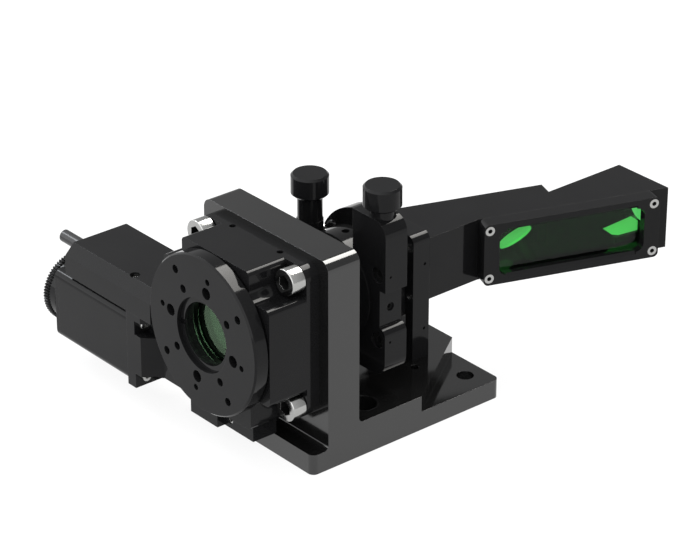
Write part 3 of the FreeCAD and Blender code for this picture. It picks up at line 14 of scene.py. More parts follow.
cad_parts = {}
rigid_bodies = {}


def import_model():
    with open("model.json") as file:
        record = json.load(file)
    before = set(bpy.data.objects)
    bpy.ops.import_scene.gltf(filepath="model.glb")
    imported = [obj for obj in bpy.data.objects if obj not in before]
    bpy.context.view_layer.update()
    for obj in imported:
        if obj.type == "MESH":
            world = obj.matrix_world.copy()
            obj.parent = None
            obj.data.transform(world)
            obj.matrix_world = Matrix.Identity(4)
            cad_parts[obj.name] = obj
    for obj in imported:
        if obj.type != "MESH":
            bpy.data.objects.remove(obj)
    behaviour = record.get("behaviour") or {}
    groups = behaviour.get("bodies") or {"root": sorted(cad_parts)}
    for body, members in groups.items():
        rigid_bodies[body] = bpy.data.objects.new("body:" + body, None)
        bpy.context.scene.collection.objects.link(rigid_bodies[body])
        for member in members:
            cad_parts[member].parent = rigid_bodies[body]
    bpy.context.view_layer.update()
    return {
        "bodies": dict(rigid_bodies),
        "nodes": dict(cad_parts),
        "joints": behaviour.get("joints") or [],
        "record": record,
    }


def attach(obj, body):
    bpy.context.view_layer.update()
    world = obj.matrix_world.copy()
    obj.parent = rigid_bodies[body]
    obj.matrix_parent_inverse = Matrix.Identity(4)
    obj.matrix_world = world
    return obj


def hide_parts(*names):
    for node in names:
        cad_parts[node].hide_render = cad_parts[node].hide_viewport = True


MM = 0.001
BEAM_HEIGHT = 50.0
MERGE_MM = 1e-4
QUARTER_TURN = math.pi / 2
Colour = tuple[float, float, float]
log = logging.getLogger("attenuator")


class Grain(Enum):
    """How a surface was worked, which sets the pattern on it."""

    BLASTED = "blasted"
    TURNED_Y = "turned round the beam"
    GROUND = "ground"
    MOULDED = "moulded"


class Axis(Enum):
    """Directions of the part's frame."""

    X = (1.0, 0.0, 0.0)
    Y = (0.0, 1.0, 0.0)


class NodeChain:
    """Short way to add and wire shader nodes in one material."""

    def __init__(self, name: str) -> None:
        """Start an empty node tree.

        Args:
            name: The material's name.
        """
        self.material = bpy.data.materials.new(name)
        self.material.use_nodes = True
        self.tree = self.material.node_tree
        self.tree.nodes.clear()
        self.output = self.add("ShaderNodeOutputMaterial")

    def add(self, kind: str, **values: object) -> bpy.types.Node:
        """Add a node and set its unlinked sockets and properties.

        Args:
            kind: Blender's name of the node.
            **values: Socket names with underscores for blanks, or properties.

        Returns:
            The new node.
        """
        node = self.tree.nodes.new(kind)
        for key, value in values.items():
            if hasattr(node, key):
                setattr(node, key, value)
            else:
                node.inputs[key.replace("_", " ")].default_value = value
        return node

    def link(self, source: bpy.types.NodeSocket, target: bpy.types.NodeSocket) -> None:
        """Wire one socket to another.

        Args:
            source: The output socket.
            target: The input socket.
        """
        self.tree.links.new(source, target)

    def place(self, scale: Sequence[float]) -> bpy.types.NodeSocket:
        """Coordinates of the surface in the object's own frame, stretched along each axis.

        Args:
            scale: How many pattern units there are in a metre along each axis.

        Returns:
            The vector socket.
        """
        coordinates = self.add("ShaderNodeTexCoord")
        stretch = self.add("ShaderNodeVectorMath", operation="MULTIPLY")
        self.link(coordinates.outputs["Object"], stretch.inputs[0])
        stretch.inputs[1].default_value = tuple(scale)
        return stretch.outputs[0]

    def noise(self, scale: Sequence[float], detail: float, roughness: float = 0.5) -> bpy.types.NodeSocket:
        """Noise on the object's own coordinates.

        Args:
            scale: How many pattern units there are in a metre along each axis.
            detail: How many finer layers the pattern has.
            roughness: How strong the finer layers are.

        Returns:
            The noise's value socket.
        """
        node = self.add("ShaderNodeTexNoise", Scale=1.0, Detail=detail, Roughness=roughness)
        self.link(self.place(scale), node.inputs["Vector"])
        return node.outputs[0]

    def mean(self, first: bpy.types.NodeSocket, second: bpy.types.NodeSocket) -> bpy.types.NodeSocket:
        """Mean of two patterns.

        Args:
            first: One pattern.
            second: The other pattern.

        Returns:
            The result socket.
        """
        half = self.add("ShaderNodeMath", operation="MULTIPLY")
        half.inputs[1].default_value = 0.5
        self.link(second, half.inputs[0])
        both = self.add("ShaderNodeMath", operation="MULTIPLY_ADD")
        both.inputs[1].default_value = 0.5
        self.link(first, both.inputs[0])
        self.link(half.outputs[0], both.inputs[2])
        return both.outputs[0]

    def remap(self, value: bpy.types.NodeSocket, low: float, high: float,
              start: float = 0.3, end: float = 0.7) -> bpy.types.NodeSocket:
        """Turn a pattern's range into a range of another value.

        Args:
            value: The pattern.
            low: Result at the start.
            high: Result at the end.
            start: Pattern value that gives low.
            end: Pattern value that gives high.

        Returns:
            The result socket.
        """
        node = self.add("ShaderNodeMapRange")
        self.link(value, node.inputs["Value"])
        for key, number in zip(("From Min", "From Max", "To Min", "To Max"), (start, end, low, high)):
            node.inputs[key].default_value = number
        return node.outputs["Result"]

    def blend(self, factor: bpy.types.NodeSocket, first: Colour, second: Colour) -> bpy.types.NodeSocket:
        """Mix two colours by a pattern.

        Args:
            factor: The pattern, from 0 to 1.
            first: Colour at 0.
            second: Colour at 1.

        Returns:
            The colour socket.
        """
        node = self.add("ShaderNodeMix", data_type="RGBA")
        self.link(factor, node.inputs[0])
        node.inputs[6].default_value = (*first, 1.0)
        node.inputs[7].default_value = (*second, 1.0)
        return node.outputs[2]


@dataclass(frozen=True)
class Finish:
    """Opaque finish with a worked surface.

    Attributes:
        name: The finish's own name.
        slot: The record's material slot.
        dark: Colour in the surface's dark patches.
        light: Colour in its light patches.
        metallic: Metal share.
        smooth: Lowest roughness.
        rough: Highest roughness.
        grain: How the surface was worked.
        grain_mm: Size of the fine pattern.
        depth_mm: Depth of the fine pattern.
        edge_mm: Radius of the broken edges.
        specular: Strength of the clear reflection.
        cloud_scale: Units of the broad pattern in a metre.
        edge_samples: Rays that find the broken edges.
    """

    name: str
    slot: str
    dark: Colour
    light: Colour
    metallic: float = 0.0
    smooth: float = 0.06
    rough: float = 0.1
    grain: Grain = Grain.BLASTED
    grain_mm: float = 0.5
    depth_mm: float = 0.001
    edge_mm: float = 0.12
    specular: float = 0.33
    cloud_scale: float = 60.0
    edge_samples: int = 6

    def stretch(self) -> tuple[float, float, float]:
        """How the fine pattern is stretched along each axis."""
        unit = 1.0 / (self.grain_mm * MM)
        if self.grain is Grain.TURNED_Y:
            return (unit, unit * 0.2, unit)
        if self.grain is Grain.GROUND:
            return (unit * 0.06, unit, unit)
        return (unit, unit, unit)

    def material(self) -> bpy.types.Material:
        """Build the finish's node tree.

        Returns:
            The finished material.
        """
        chain = NodeChain(self.name)
        shader = chain.add("ShaderNodeBsdfPrincipled", Metallic=self.metallic)
        shader.inputs["Specular IOR Level"].default_value = self.specular
        cloud = chain.noise((self.cloud_scale,) * 3, 3.0, 0.55)
        fine = chain.noise(self.stretch(), 2.0)
        both = chain.mean(cloud, fine)
        colour = chain.blend(chain.remap(both, 0.0, 1.0), self.dark, self.light)
        chain.link(colour, shader.inputs["Base Color"])
        chain.link(chain.remap(both, self.smooth, self.rough), shader.inputs["Roughness"])
        edge = chain.add("ShaderNodeBevel", samples=self.edge_samples, Radius=self.edge_mm * MM)
        bump = chain.add("ShaderNodeBump", Strength=1.0, Distance=self.depth_mm * MM)
        chain.link(fine, bump.inputs["Height"])
        chain.link(edge.outputs[0], bump.inputs["Normal"])
        chain.link(bump.outputs[0], shader.inputs["Normal"])
        chain.link(shader.outputs[0], chain.output.inputs["Surface"])
        return chain.material


@dataclass(frozen=True)
class GlassFinish:
    """Clear, coloured or glowing glass with a faint coating; the glow is painted light.

    Attributes:
        name: The finish's own name.
        slot: The record's material slot.
        tint: Colour of the light that comes through.
        ior: Refractive index.
        glow: Painted light: strength of the light that the glass gives off itself, as if lit from behind
            it.
        glow_colour: Colour of that light.
        transmission: Share of the light that comes through.
        smooth: Lowest roughness.
        specular: Strength of the clear reflection.
        coating: Colour of the clear reflection.
        streak_scale: Units of the faint streaks in a metre.
        streak_depth: How much deeper the tint is in the streaks.
        glow_depth: How much weaker the painted glow is in the streaks.
    """

    name: str
    slot: str
    tint: Colour
    ior: float = 1.5
    glow: float = 0.0
    glow_colour: Colour = (1.0, 1.0, 1.0)
    transmission: float = 1.0
    smooth: float = 0.02
    specular: float = 0.5
    coating: Colour = (1.0, 1.0, 1.0)
    streak_scale: float = 90.0
    streak_depth: float = 0.08
    glow_depth: float = 0.2

    def material(self) -> bpy.types.Material:
        """Build the glass's node tree.

        Returns:
            The finished material.
        """
        chain = NodeChain(self.name)
        shader = chain.add("ShaderNodeBsdfPrincipled", IOR=self.ior)
        shader.inputs["Specular IOR Level"].default_value = self.specular
        shader.inputs["Specular Tint"].default_value = (*self.coating, 1.0)
        shader.inputs["Transmission Weight"].default_value = self.transmission
        streak = chain.noise((self.streak_scale,) * 3, 2.0)
        share = chain.remap(streak, 0.0, 1.0)
        deeper = tuple((1.0 - self.streak_depth) * part for part in self.tint)
        chain.link(chain.blend(share, deeper, self.tint), shader.inputs["Base Color"])
        chain.link(chain.remap(streak, self.smooth, self.smooth + 0.02), shader.inputs["Roughness"])
        # Painted light: emission makes the glass glow as if lit from behind.
        if self.glow > 0.0:
            weaker = tuple((1.0 - self.glow_depth) * part for part in self.glow_colour)
            painted_glow = chain.blend(share, weaker, self.glow_colour)
            chain.link(painted_glow, shader.inputs["Emission Color"])
            shader.inputs["Emission Strength"].default_value = self.glow
        chain.link(shader.outputs[0], chain.output.inputs["Surface"])
        return chain.material


ANODISED_DARK: Colour = (0.0045, 0.0045, 0.0048)
ANODISED_LIGHT: Colour = (0.0065, 0.0065, 0.0068)

BRACKET_BLACK = Finish(
    "bracket_black", "black_anodised", (0.003, 0.003, 0.003), (0.005, 0.005, 0.005),
    smooth=0.08, rough=0.13, specular=0.71,
)
FINE_BLACK = Finish("fine_black", "black_anodised", ANODISED_DARK, ANODISED_LIGHT, specular=0.13)
KNOB_BLACK = replace(FINE_BLACK, name="knob_black", edge_mm=0.05)
TURNED_BLACK = replace(FINE_BLACK, name="turned_black", grain=Grain.TURNED_Y)
CASE_BLACK = replace(
    FINE_BLACK, name="case_black", slot="black_cast", smooth=0.08, rough=0.13, grain_mm=0.8,
)
# Near-black rough finish: the own black of the mount plugs and clamp screw, and painted shade in the cups
# inside the screw sockets.
PLUG_AND_SOCKET_SHADE_BLACK = Finish(
    "plug_and_socket_shade_black", "screw_steel", (0.003, 0.003, 0.003), (0.006, 0.006, 0.006),
    smooth=0.5, rough=0.7, specular=0.1,
)
SCREW_STEEL = Finish(
    "screw_steel", "screw_steel", (0.34, 0.34, 0.335), (0.43, 0.43, 0.42),
    metallic=1.0, smooth=0.12, rough=0.2, grain_mm=0.3, edge_mm=0.1,
)
SHAFT_STEEL = Finish(
    "shaft_steel", "shaft_steel", (0.4, 0.4, 0.4), (0.5, 0.5, 0.5),
    metallic=1.0, smooth=0.12, rough=0.22, grain=Grain.GROUND, grain_mm=0.2,
)
BRIGHT_STEEL = Finish(
    "bright_steel", "bright_steel", (0.6, 0.6, 0.6), (0.7, 0.7, 0.7),
    metallic=1.0, smooth=0.05, rough=0.1, depth_mm=0.0005,
)
BRONZE = Finish(
    "bronze", "bronze", (0.5, 0.34, 0.14), (0.66, 0.46, 0.2),
    metallic=1.0, smooth=0.2, rough=0.32,
)
COPPER_STACK = Finish(
    "copper_stack", "copper_stack", (0.2, 0.14, 0.1), (0.34, 0.22, 0.15),
    metallic=0.8, smooth=0.35, rough=0.5,
)
BOARD_GREEN = Finish(
    "board_green", "board_green", (0.015, 0.12, 0.04), (0.025, 0.18, 0.06),
    smooth=0.3, rough=0.45, grain=Grain.MOULDED,
)
BLACK_PLASTIC = Finish(
    "black_plastic", "black_plastic", (0.013, 0.013, 0.014), (0.02, 0.02, 0.021),
    smooth=0.2, rough=0.3, grain=Grain.MOULDED,
)
GASKET_RUBBER = Finish(
    "gasket_rubber", "gasket_rubber", (0.004, 0.004, 0.004), (0.008, 0.008, 0.008),
    smooth=0.6, rough=0.8, grain=Grain.MOULDED, specular=0.2,
)
OPTIC_GLASS = GlassFinish(
    "optic_glass", "optic_glass", (0.3, 0.45, 0.32), specular=0.3, coating=(0.3, 1.0, 0.3),
)
GREEN_GLASS = GlassFinish("green_glass", "green_glass", (0.08, 0.5, 0.11), ior=1.27)
# Painted light: the polarizer disc and plate glow by their own emission, as if lit through the window.
PAINTED_GLOW_GLASS = GlassFinish(
    "lit_glass", "lit_glass", (0.8, 0.9, 0.8),
    glow=1.0, glow_colour=(0.85, 1.0, 0.8), transmission=0.0, smooth=0.1,
)


class Palette:
    """Materials, each made once from its finish."""

    def __init__(self) -> None:
        """Start with no materials."""
        self.made: dict[object, bpy.types.Material] = {}

    def get(self, finish: Finish | GlassFinish) -> bpy.types.Material:
        """The material of a finish, built on its first use.

        Args:
            finish: The finish.

        Returns:
            Its material.
        """
        if finish not in self.made:
            self.made[finish] = finish.material()
        return self.made[finish]


class Workshop:
    """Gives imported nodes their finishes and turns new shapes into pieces."""

    def __init__(self, frame: dict, palette: Palette) -> None:
        """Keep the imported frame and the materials.

        Args:
            palette: The materials.
        """
        self.nodes = frame["nodes"]
        self.palette = palette

    def dress(self, finish: Finish | GlassFinish, *names: str) -> None:
        """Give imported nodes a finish.

        Args:
            finish: The finish to use.
            *names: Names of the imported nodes.
        """
        for name in names:
            node = self.nodes[name]
            node.data.materials.clear()
            node.data.materials.append(self.palette.get(finish))
            log.info("dressed %s as %s", name, finish.slot)

    def piece(self, name: str, mesh: bmesh.types.BMesh, body: str, finish: Finish | GlassFinish,
              replaced: Iterable[str] = (), sharp_deg: float = 35.0) -> bpy.types.Object:
        """Turn a bmesh into a piece of the part.

        Args:
            name: The piece's name.
            mesh: Its shape in millimetres, in the part's frame.
            body: The body that it rides on.
            finish: Its finish.
            replaced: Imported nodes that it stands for.
            sharp_deg: Faces that turn by more than this meet in a sharp edge.

        Returns:
            The new object.
        """
        bmesh.ops.remove_doubles(mesh, verts=mesh.verts, dist=MERGE_MM)
        bmesh.ops.recalc_face_normals(mesh, faces=mesh.faces)
        bmesh.ops.scale(mesh, vec=(MM, MM, MM), verts=mesh.verts)
        sharp = math.radians(sharp_deg)
        for edge in mesh.edges:
            edge.smooth = len(edge.link_faces) == 2 and edge.calc_face_angle(0.0) < sharp
        for face in mesh.faces:
            face.smooth = True
        data = bpy.data.meshes.new(name)
        mesh.to_mesh(data)
        mesh.free()
        data.materials.append(self.palette.get(finish))
        made = bpy.data.objects.new(name, data)
        bpy.context.scene.collection.objects.link(made)
        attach(made, body)
        if replaced:
            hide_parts(*replaced)
        log.info("made %s on %s", name, body)
        return made


def turned(profile: Sequence[tuple[float, float]], steps: int) -> bmesh.types.BMesh:
    """Spin an outline about Z.

    Args:
        profile: Radius and height of each point. Where neither end is on the axis, the outline is closed.
        steps: Number of facets round the axis.

    Returns:
        The turned shape.
    """
    mesh = bmesh.new()
    points = [mesh.verts.new((radius, 0.0, height)) for radius, height in profile]
    edges = [mesh.edges.new(pair) for pair in zip(points, points[1:])]
    if profile[0][0] > 0.0 and profile[-1][0] > 0.0:
        edges.append(mesh.edges.new((points[-1], points[0])))
    bmesh.ops.spin(mesh, geom=points + edges, cent=(0, 0, 0), axis=(0, 0, 1), angle=math.tau,
                   steps=steps, use_merge=True)
    bmesh.ops.remove_doubles(mesh, verts=mesh.verts, dist=MERGE_MM)
    return mesh


def stood(mesh: bmesh.types.BMesh, axis: Axis, at: Sequence[float]) -> bmesh.types.BMesh:
    """Lay a shape made along Z along another axis and move it to its place.

    Args:
        mesh: The shape.
        axis: Where its Z goes.
        at: Its new origin in millimetres.

    Returns:
        The same shape, moved.
    """
    turn = Vector((0, 0, 1)).rotation_difference(Vector(axis.value)).to_matrix().to_4x4()
    bmesh.ops.transform(mesh, matrix=Matrix.Translation(at) @ turn, verts=mesh.verts)
    return mesh


def gathered(meshes: Sequence[bmesh.types.BMesh]) -> bmesh.types.BMesh:
    """Put several shapes into one.

    Args:
        meshes: The shapes, which are used up.

    Returns:
        The shape that holds them all.
    """
    whole = bmesh.new()
    for mesh in meshes:
        data = bpy.data.meshes.new("part")
        mesh.to_mesh(data)
        mesh.free()
        whole.from_mesh(data)
        bpy.data.meshes.remove(data)
    return whole


def hexed(mesh: bmesh.types.BMesh, across: float, floor: float) -> bmesh.types.BMesh:
    """Pull the ring of a turned socket's wall onto a hexagon.

    Args:
        mesh: The turned shape, whose socket wall stands at the hexagon's corner radius.
        across: Size across the flats.
        floor: Height of the socket's floor.

    Returns:
        The same shape.
    """
    corner = across / math.sqrt(3.0)
    side = math.tau / 6.0
    for vert in mesh.verts:
        on_wall = abs(math.hypot(vert.co.x, vert.co.y) - corner) < 10.0 * MERGE_MM
        if on_wall and vert.co.z > floor - MERGE_MM:
            angle = math.atan2(vert.co.y, vert.co.x) % side - side / 2.0
            pull = across / 2.0 / math.cos(angle) / corner
            vert.co.x *= pull
            vert.co.y *= pull
    return mesh


@dataclass
class SocketHead:
    """Socket-head screw with a rolled rim and a crisp socket.

    Attributes:
        radius: Head radius.
        height: Head height.
        shank: Shank radius.
        reach: Length under the head.
        across: Socket's size across its flats.
        depth: Socket depth.
        wall: Wall of the dark cup that paints shade into the socket.
        shade_lining_gap: How far that painted-shade cup stays under the screw's own faces.
        lip_share: The rolled rim's radius as a share of the head's.
        steps: Facets round the screw.
    """

    radius: float
    height: float
    shank: float
    reach: float
    across: float
    depth: float
    wall: float = 0.12
    shade_lining_gap: float = 0.01
    lip_share: float = 0.07
    steps: int = 72

    def build(self) -> bmesh.types.BMesh:
        """Make the screw along Z, with its head's seat at 0 and the socket facing up.

        Returns:
            The screw's shape.
        """
        rim, lip = self.radius, self.radius * self.lip_share
        tip, point = -self.reach, self.shank * 0.2
        corner = self.across / math.sqrt(3.0)
        floor, shoulder = self.height - self.depth, self.height - lip
        profile = [(0.0, tip), (self.shank - point, tip), (self.shank, tip + point), (self.shank, 0.0),
                   (rim - lip, 0.0), (rim, lip), (rim, shoulder)]
        rolls = 4
        for turn in range(1, rolls + 1):
            angle = QUARTER_TURN * turn / rolls
            profile.append((rim - lip * (1 - math.cos(angle)), shoulder + lip * math.sin(angle)))
        profile += [(corner, self.height), (corner, floor), (0.0, floor)]
        return hexed(turned(profile, self.steps), self.across, floor)

    def shade_lining(self) -> bmesh.types.BMesh:
        """Make the dark cup that paints shade into the socket.

        Returns:
            The cup's shape, in the screw's own place.
        """
        outside = (self.across - 2 * self.shade_lining_gap) / math.sqrt(3.0)
        inside = outside - self.wall
        floor, top = self.height - self.depth + self.shade_lining_gap, self.height - 2 * self.shade_lining_gap
        inner_floor = floor + self.wall
        return turned([(0.0, floor), (outside, floor), (outside, top), (inside, top),
                       (inside, inner_floor), (0.0, inner_floor)], 6)


@dataclass
class Coil:
    """Spring wound from round wire.

    Attributes:
        radius: Outside radius.
        wire: Wire radius.
        length: Length over the ends.
        turns: Number of turns.
        facets: Steps in each turn.
        sides: Sides of the wire's section.
    """

    radius: float
    wire: float
    length: float
    turns: int
    facets: int = 20
    sides: int = 8

    def build(self) -> bmesh.types.BMesh:
        """Wind the spring along Z, starting at 0.

        Returns:
            The spring's shape.
        """
        mesh = bmesh.new()
        steps = self.turns * self.facets
        bmesh.ops.create_circle(mesh, cap_ends=True, segments=self.sides, radius=self.wire)
        turn = Matrix.Rotation(QUARTER_TURN, 3, "X")
        bmesh.ops.rotate(mesh, cent=(0, 0, 0), matrix=turn, verts=mesh.verts)
        bmesh.ops.translate(mesh, vec=(self.radius - self.wire, 0.0, self.wire), verts=mesh.verts)
        rise = (self.length - 2 * self.wire) / steps
        section = mesh.verts[:] + mesh.edges[:] + mesh.faces[:]
        bmesh.ops.spin(mesh, geom=section, cent=(0, 0, 0), axis=(0, 0, 1), dvec=(0, 0, rise),
                       angle=math.tau * self.turns, steps=steps, use_merge=False)
        return mesh


@dataclass
class Bracket:
    """Upright bracket with its base."""

    def build(self, shop: Workshop) -> None:
        """Dress the bracket.

        Args:
            shop: Where nodes are dressed.
        """
        shop.dress(BRACKET_BLACK, "bracket")


@dataclass
class RotationStage:
    """Stage body with its turning platform.

    Attributes:
        bolt_offset: Distance of each bolt from the beam, along X and Z.
        bolt_seat: Y of the face under the bolt heads.
        bolt: The bolt's own shape.
    """

    bolt_offset: float = 25.0
    bolt_seat: float = -43.25
    bolt: SocketHead = field(default_factory=lambda: SocketHead(
        radius=5.0, height=6.0, shank=3.0, reach=17.6, across=5.0, depth=3.4))

    def build(self, shop: Workshop) -> None:
        """Dress the stage and make its bolts.

        Args:
            shop: Where nodes are dressed and pieces are made.
        """
        shop.dress(FINE_BLACK, "stage_body", "worm_cover")
        shop.dress(TURNED_BLACK, "platform", "waveplate_cell", "waveplate_ring")
        shop.dress(OPTIC_GLASS, "half_wave_plate")
        shop.dress(BRIGHT_STEEL, "platform_bearing_inner", "platform_bearing_outer", "bearing_balls")
        shop.dress(SHAFT_STEEL, "bearing_lock_ring")
        shop.dress(BRONZE, "worm_wheel")
        shop.dress(SCREW_STEEL, "worm_cover_screw")
        self.bolts(shop)

    def bolts(self, shop: Workshop) -> None:
        """Make the four bolts that hold the stage to the bracket, with a dark cup in each socket as
        painted shade.

        Args:
            shop: Where pieces are made.
        """
        half_flat = Matrix.Rotation(math.tau / 12.0, 4, "Z")
        forward = Matrix.Rotation(QUARTER_TURN, 4, "X")
        bodies, shade_linings = [], []
        for x in (-self.bolt_offset, self.bolt_offset):
            for z in (-self.bolt_offset, self.bolt_offset):
                place = Matrix.Translation((x, self.bolt_seat, BEAM_HEIGHT + z)) @ forward @ half_flat
                for made, kept in ((self.bolt.build(), bodies), (self.bolt.shade_lining(), shade_linings)):
                    bmesh.ops.transform(made, matrix=place, verts=made.verts)
                    kept.append(made)
        shop.piece("stage_bolts_fine", gathered(bodies), "root", SCREW_STEEL, ["stage_bolts"])
        # Painted shade: a dark cup inside each bolt's socket.
        shop.piece("stage_bolt_socket_shade", gathered(shade_linings), "root", PLUG_AND_SOCKET_SHADE_BLACK)


@dataclass
class WormDrive:
    """Worm, its line of shafts and the hand knob.

    Attributes:
        axis_y: Y of the motor's axis.
        axis_z: Z of the motor's axis.
        knob_start: X of the hand knob's outer face.
        knob_width: Width of the hand knob.
        knob_radius: Radius over the teeth.
        rim_width: Width of the toothed rim.
        neck_drop: How far the smooth part lies below the teeth.
        tooth_depth: Depth of the teeth.
        teeth: Number of teeth on the rim.
        bore: Radius of the hole for the shaft.
        hub: Radius of the raised ring round the shaft.
        hub_drop: How far that ring lies below the outer face.
        dish_drop: How far the dished face lies below the outer face.
        dish_slope: Width of the slope between the ring and the dish.
        lip_width: Width of the raised lip inside the teeth.
        lip_slope: Width of the slope from the dish to the lip.
        edge: Size of the broken edges.
    """

    axis_y: float = -52.0
    axis_z: float = 26.1
    knob_start: float = -99.0
    knob_width: float = 7.2
    knob_radius: float = 14.0
    rim_width: float = 2.9
    neck_drop: float = 0.8
    tooth_depth: float = 0.6
    teeth: int = 72
    bore: float = 2.55
    hub: float = 5.0
    hub_drop: float = 0.6
    dish_drop: float = 1.0
    dish_slope: float = 0.4
    lip_width: float = 2.4
    lip_slope: float = 0.6
    edge: float = 0.4

    def build(self, shop: Workshop) -> None:
        """Dress the drive line and make the toothed hand knob.

        Args:
            shop: Where nodes are dressed and pieces are made.
        """
        shop.dress(SHAFT_STEEL, "worm", "worm_shaft", "shaft_coupling", "motor_shaft", "motor_rotor")
        shop.dress(BRIGHT_STEEL, "worm_bearings", "motor_bearings")
        self.hand_knob(shop)

    def hand_knob(self, shop: Workshop) -> None:
        """Make the hand knob with its toothed rim, smooth neck and dished face.

        Args:
            shop: Where pieces are made.
        """
        rim, wide, edge = self.knob_radius, self.knob_width, self.edge
        neck, lip = rim - self.neck_drop, rim - self.lip_width
        face = [(self.bore, self.hub_drop), (self.hub, self.hub_drop),
                (self.hub + self.dish_slope, self.dish_drop), (lip - self.lip_slope, self.dish_drop),
                (lip, 0.0), (rim - edge, 0.0)]
        side = [(rim, edge), (rim, self.rim_width - edge), (rim - edge, self.rim_width),
                (neck, self.rim_width), (neck, wide - edge), (neck - edge, wide), (self.bore, wide)]
        facets = 4
        mesh = turned(face + side, self.teeth * facets)
        step = math.tau / (self.teeth * facets)
        pull = 1.0 - self.tooth_depth / rim
        for vert in mesh.verts:
            on_rim = math.hypot(vert.co.x, vert.co.y) > rim - edge - 10.0 * MERGE_MM
            facet = round(math.atan2(vert.co.y, vert.co.x) / step) % facets
            if on_rim and facet >= facets // 2:
                vert.co.x *= pull
                vert.co.y *= pull
        stood(mesh, Axis.X, (self.knob_start, self.axis_y, self.axis_z))
        shop.piece("hand_knob_fine", mesh, "worm", FINE_BLACK, ["hand_knob"], sharp_deg=20.0)


@dataclass
class MotorUnit:
    """Stepper motor, its adaptor and the driver housing."""

    def build(self, shop: Workshop) -> None:
        """Dress the motor and what it carries.

        Args:
            shop: Where nodes are dressed.
        """
        shop.dress(CASE_BLACK, "motor_housing", "motor_end_cap")
        shop.dress(COPPER_STACK, "motor_stator")
        shop.dress(FINE_BLACK, "motor_adaptor", "driver_housing")
        shop.dress(SCREW_STEEL, "motor_screws", "adaptor_screws", "cover_screws")
        shop.dress(GASKET_RUBBER, "driver_gasket")
        shop.dress(BOARD_GREEN, "driver_board")
        shop.dress(BRONZE, "board_standoffs")
        shop.dress(BLACK_PLASTIC, "cable_outlet")


@dataclass
class KinematicMount:
    """Tilting mount with its two adjusters, and the plates behind it.

    Attributes:
        spring_x: Distance of each return spring from the beam.
        spring_z: Height of the springs.
        spring_start: Y of the springs' front ends.
        spring_end: Y of their rear ends.
        spring_radius: Outside radius of a spring.
        spring_wire: Radius of its wire.
        spring_turns: Number of its turns.
    """

    spring_x: float = 19.5
    spring_z: float = 36.5
    spring_start: float = -3.0
    spring_end: float = 8.0
    spring_radius: float = 1.3
    spring_wire: float = 0.28
    spring_turns: int = 9

    def build(self, shop: Workshop) -> None:
        """Dress the mount and wind its springs.

        Args:
            shop: Where nodes are dressed and pieces are made.
        """
        shop.dress(FINE_BLACK, "mount_plate", "adjuster_bushings", "pivot_flange", "rear_plate")
        shop.dress(TURNED_BLACK, "polarizer_cell")
        shop.dress(KNOB_BLACK, "adjuster_knob_a", "adjuster_knob_b")
        shop.dress(SHAFT_STEEL, "adjuster_screw_a", "adjuster_screw_b")
        shop.dress(PLUG_AND_SOCKET_SHADE_BLACK, "mount_plugs", "clamp_screw")
        shop.dress(SCREW_STEEL, "flange_screws", "rear_plate_screws")
        shop.dress(BRIGHT_STEEL, "adjuster_balls", "pivot_ball")
        shop.dress(OPTIC_GLASS, "entrance_polarizer")
        self.springs(shop)

    def springs(self, shop: Workshop) -> None:
        """Wind the two return springs.

        Args:
            shop: Where pieces are made.
        """
        coil = Coil(self.spring_radius, self.spring_wire, self.spring_end - self.spring_start,
                    self.spring_turns)
        wound = [stood(coil.build(), Axis.Y, (x, self.spring_start, self.spring_z))
                 for x in (-self.spring_x, self.spring_x)]
        shop.piece("return_springs_wound", gathered(wound), "root", SHAFT_STEEL, ["return_springs"],
                   sharp_deg=60.0)


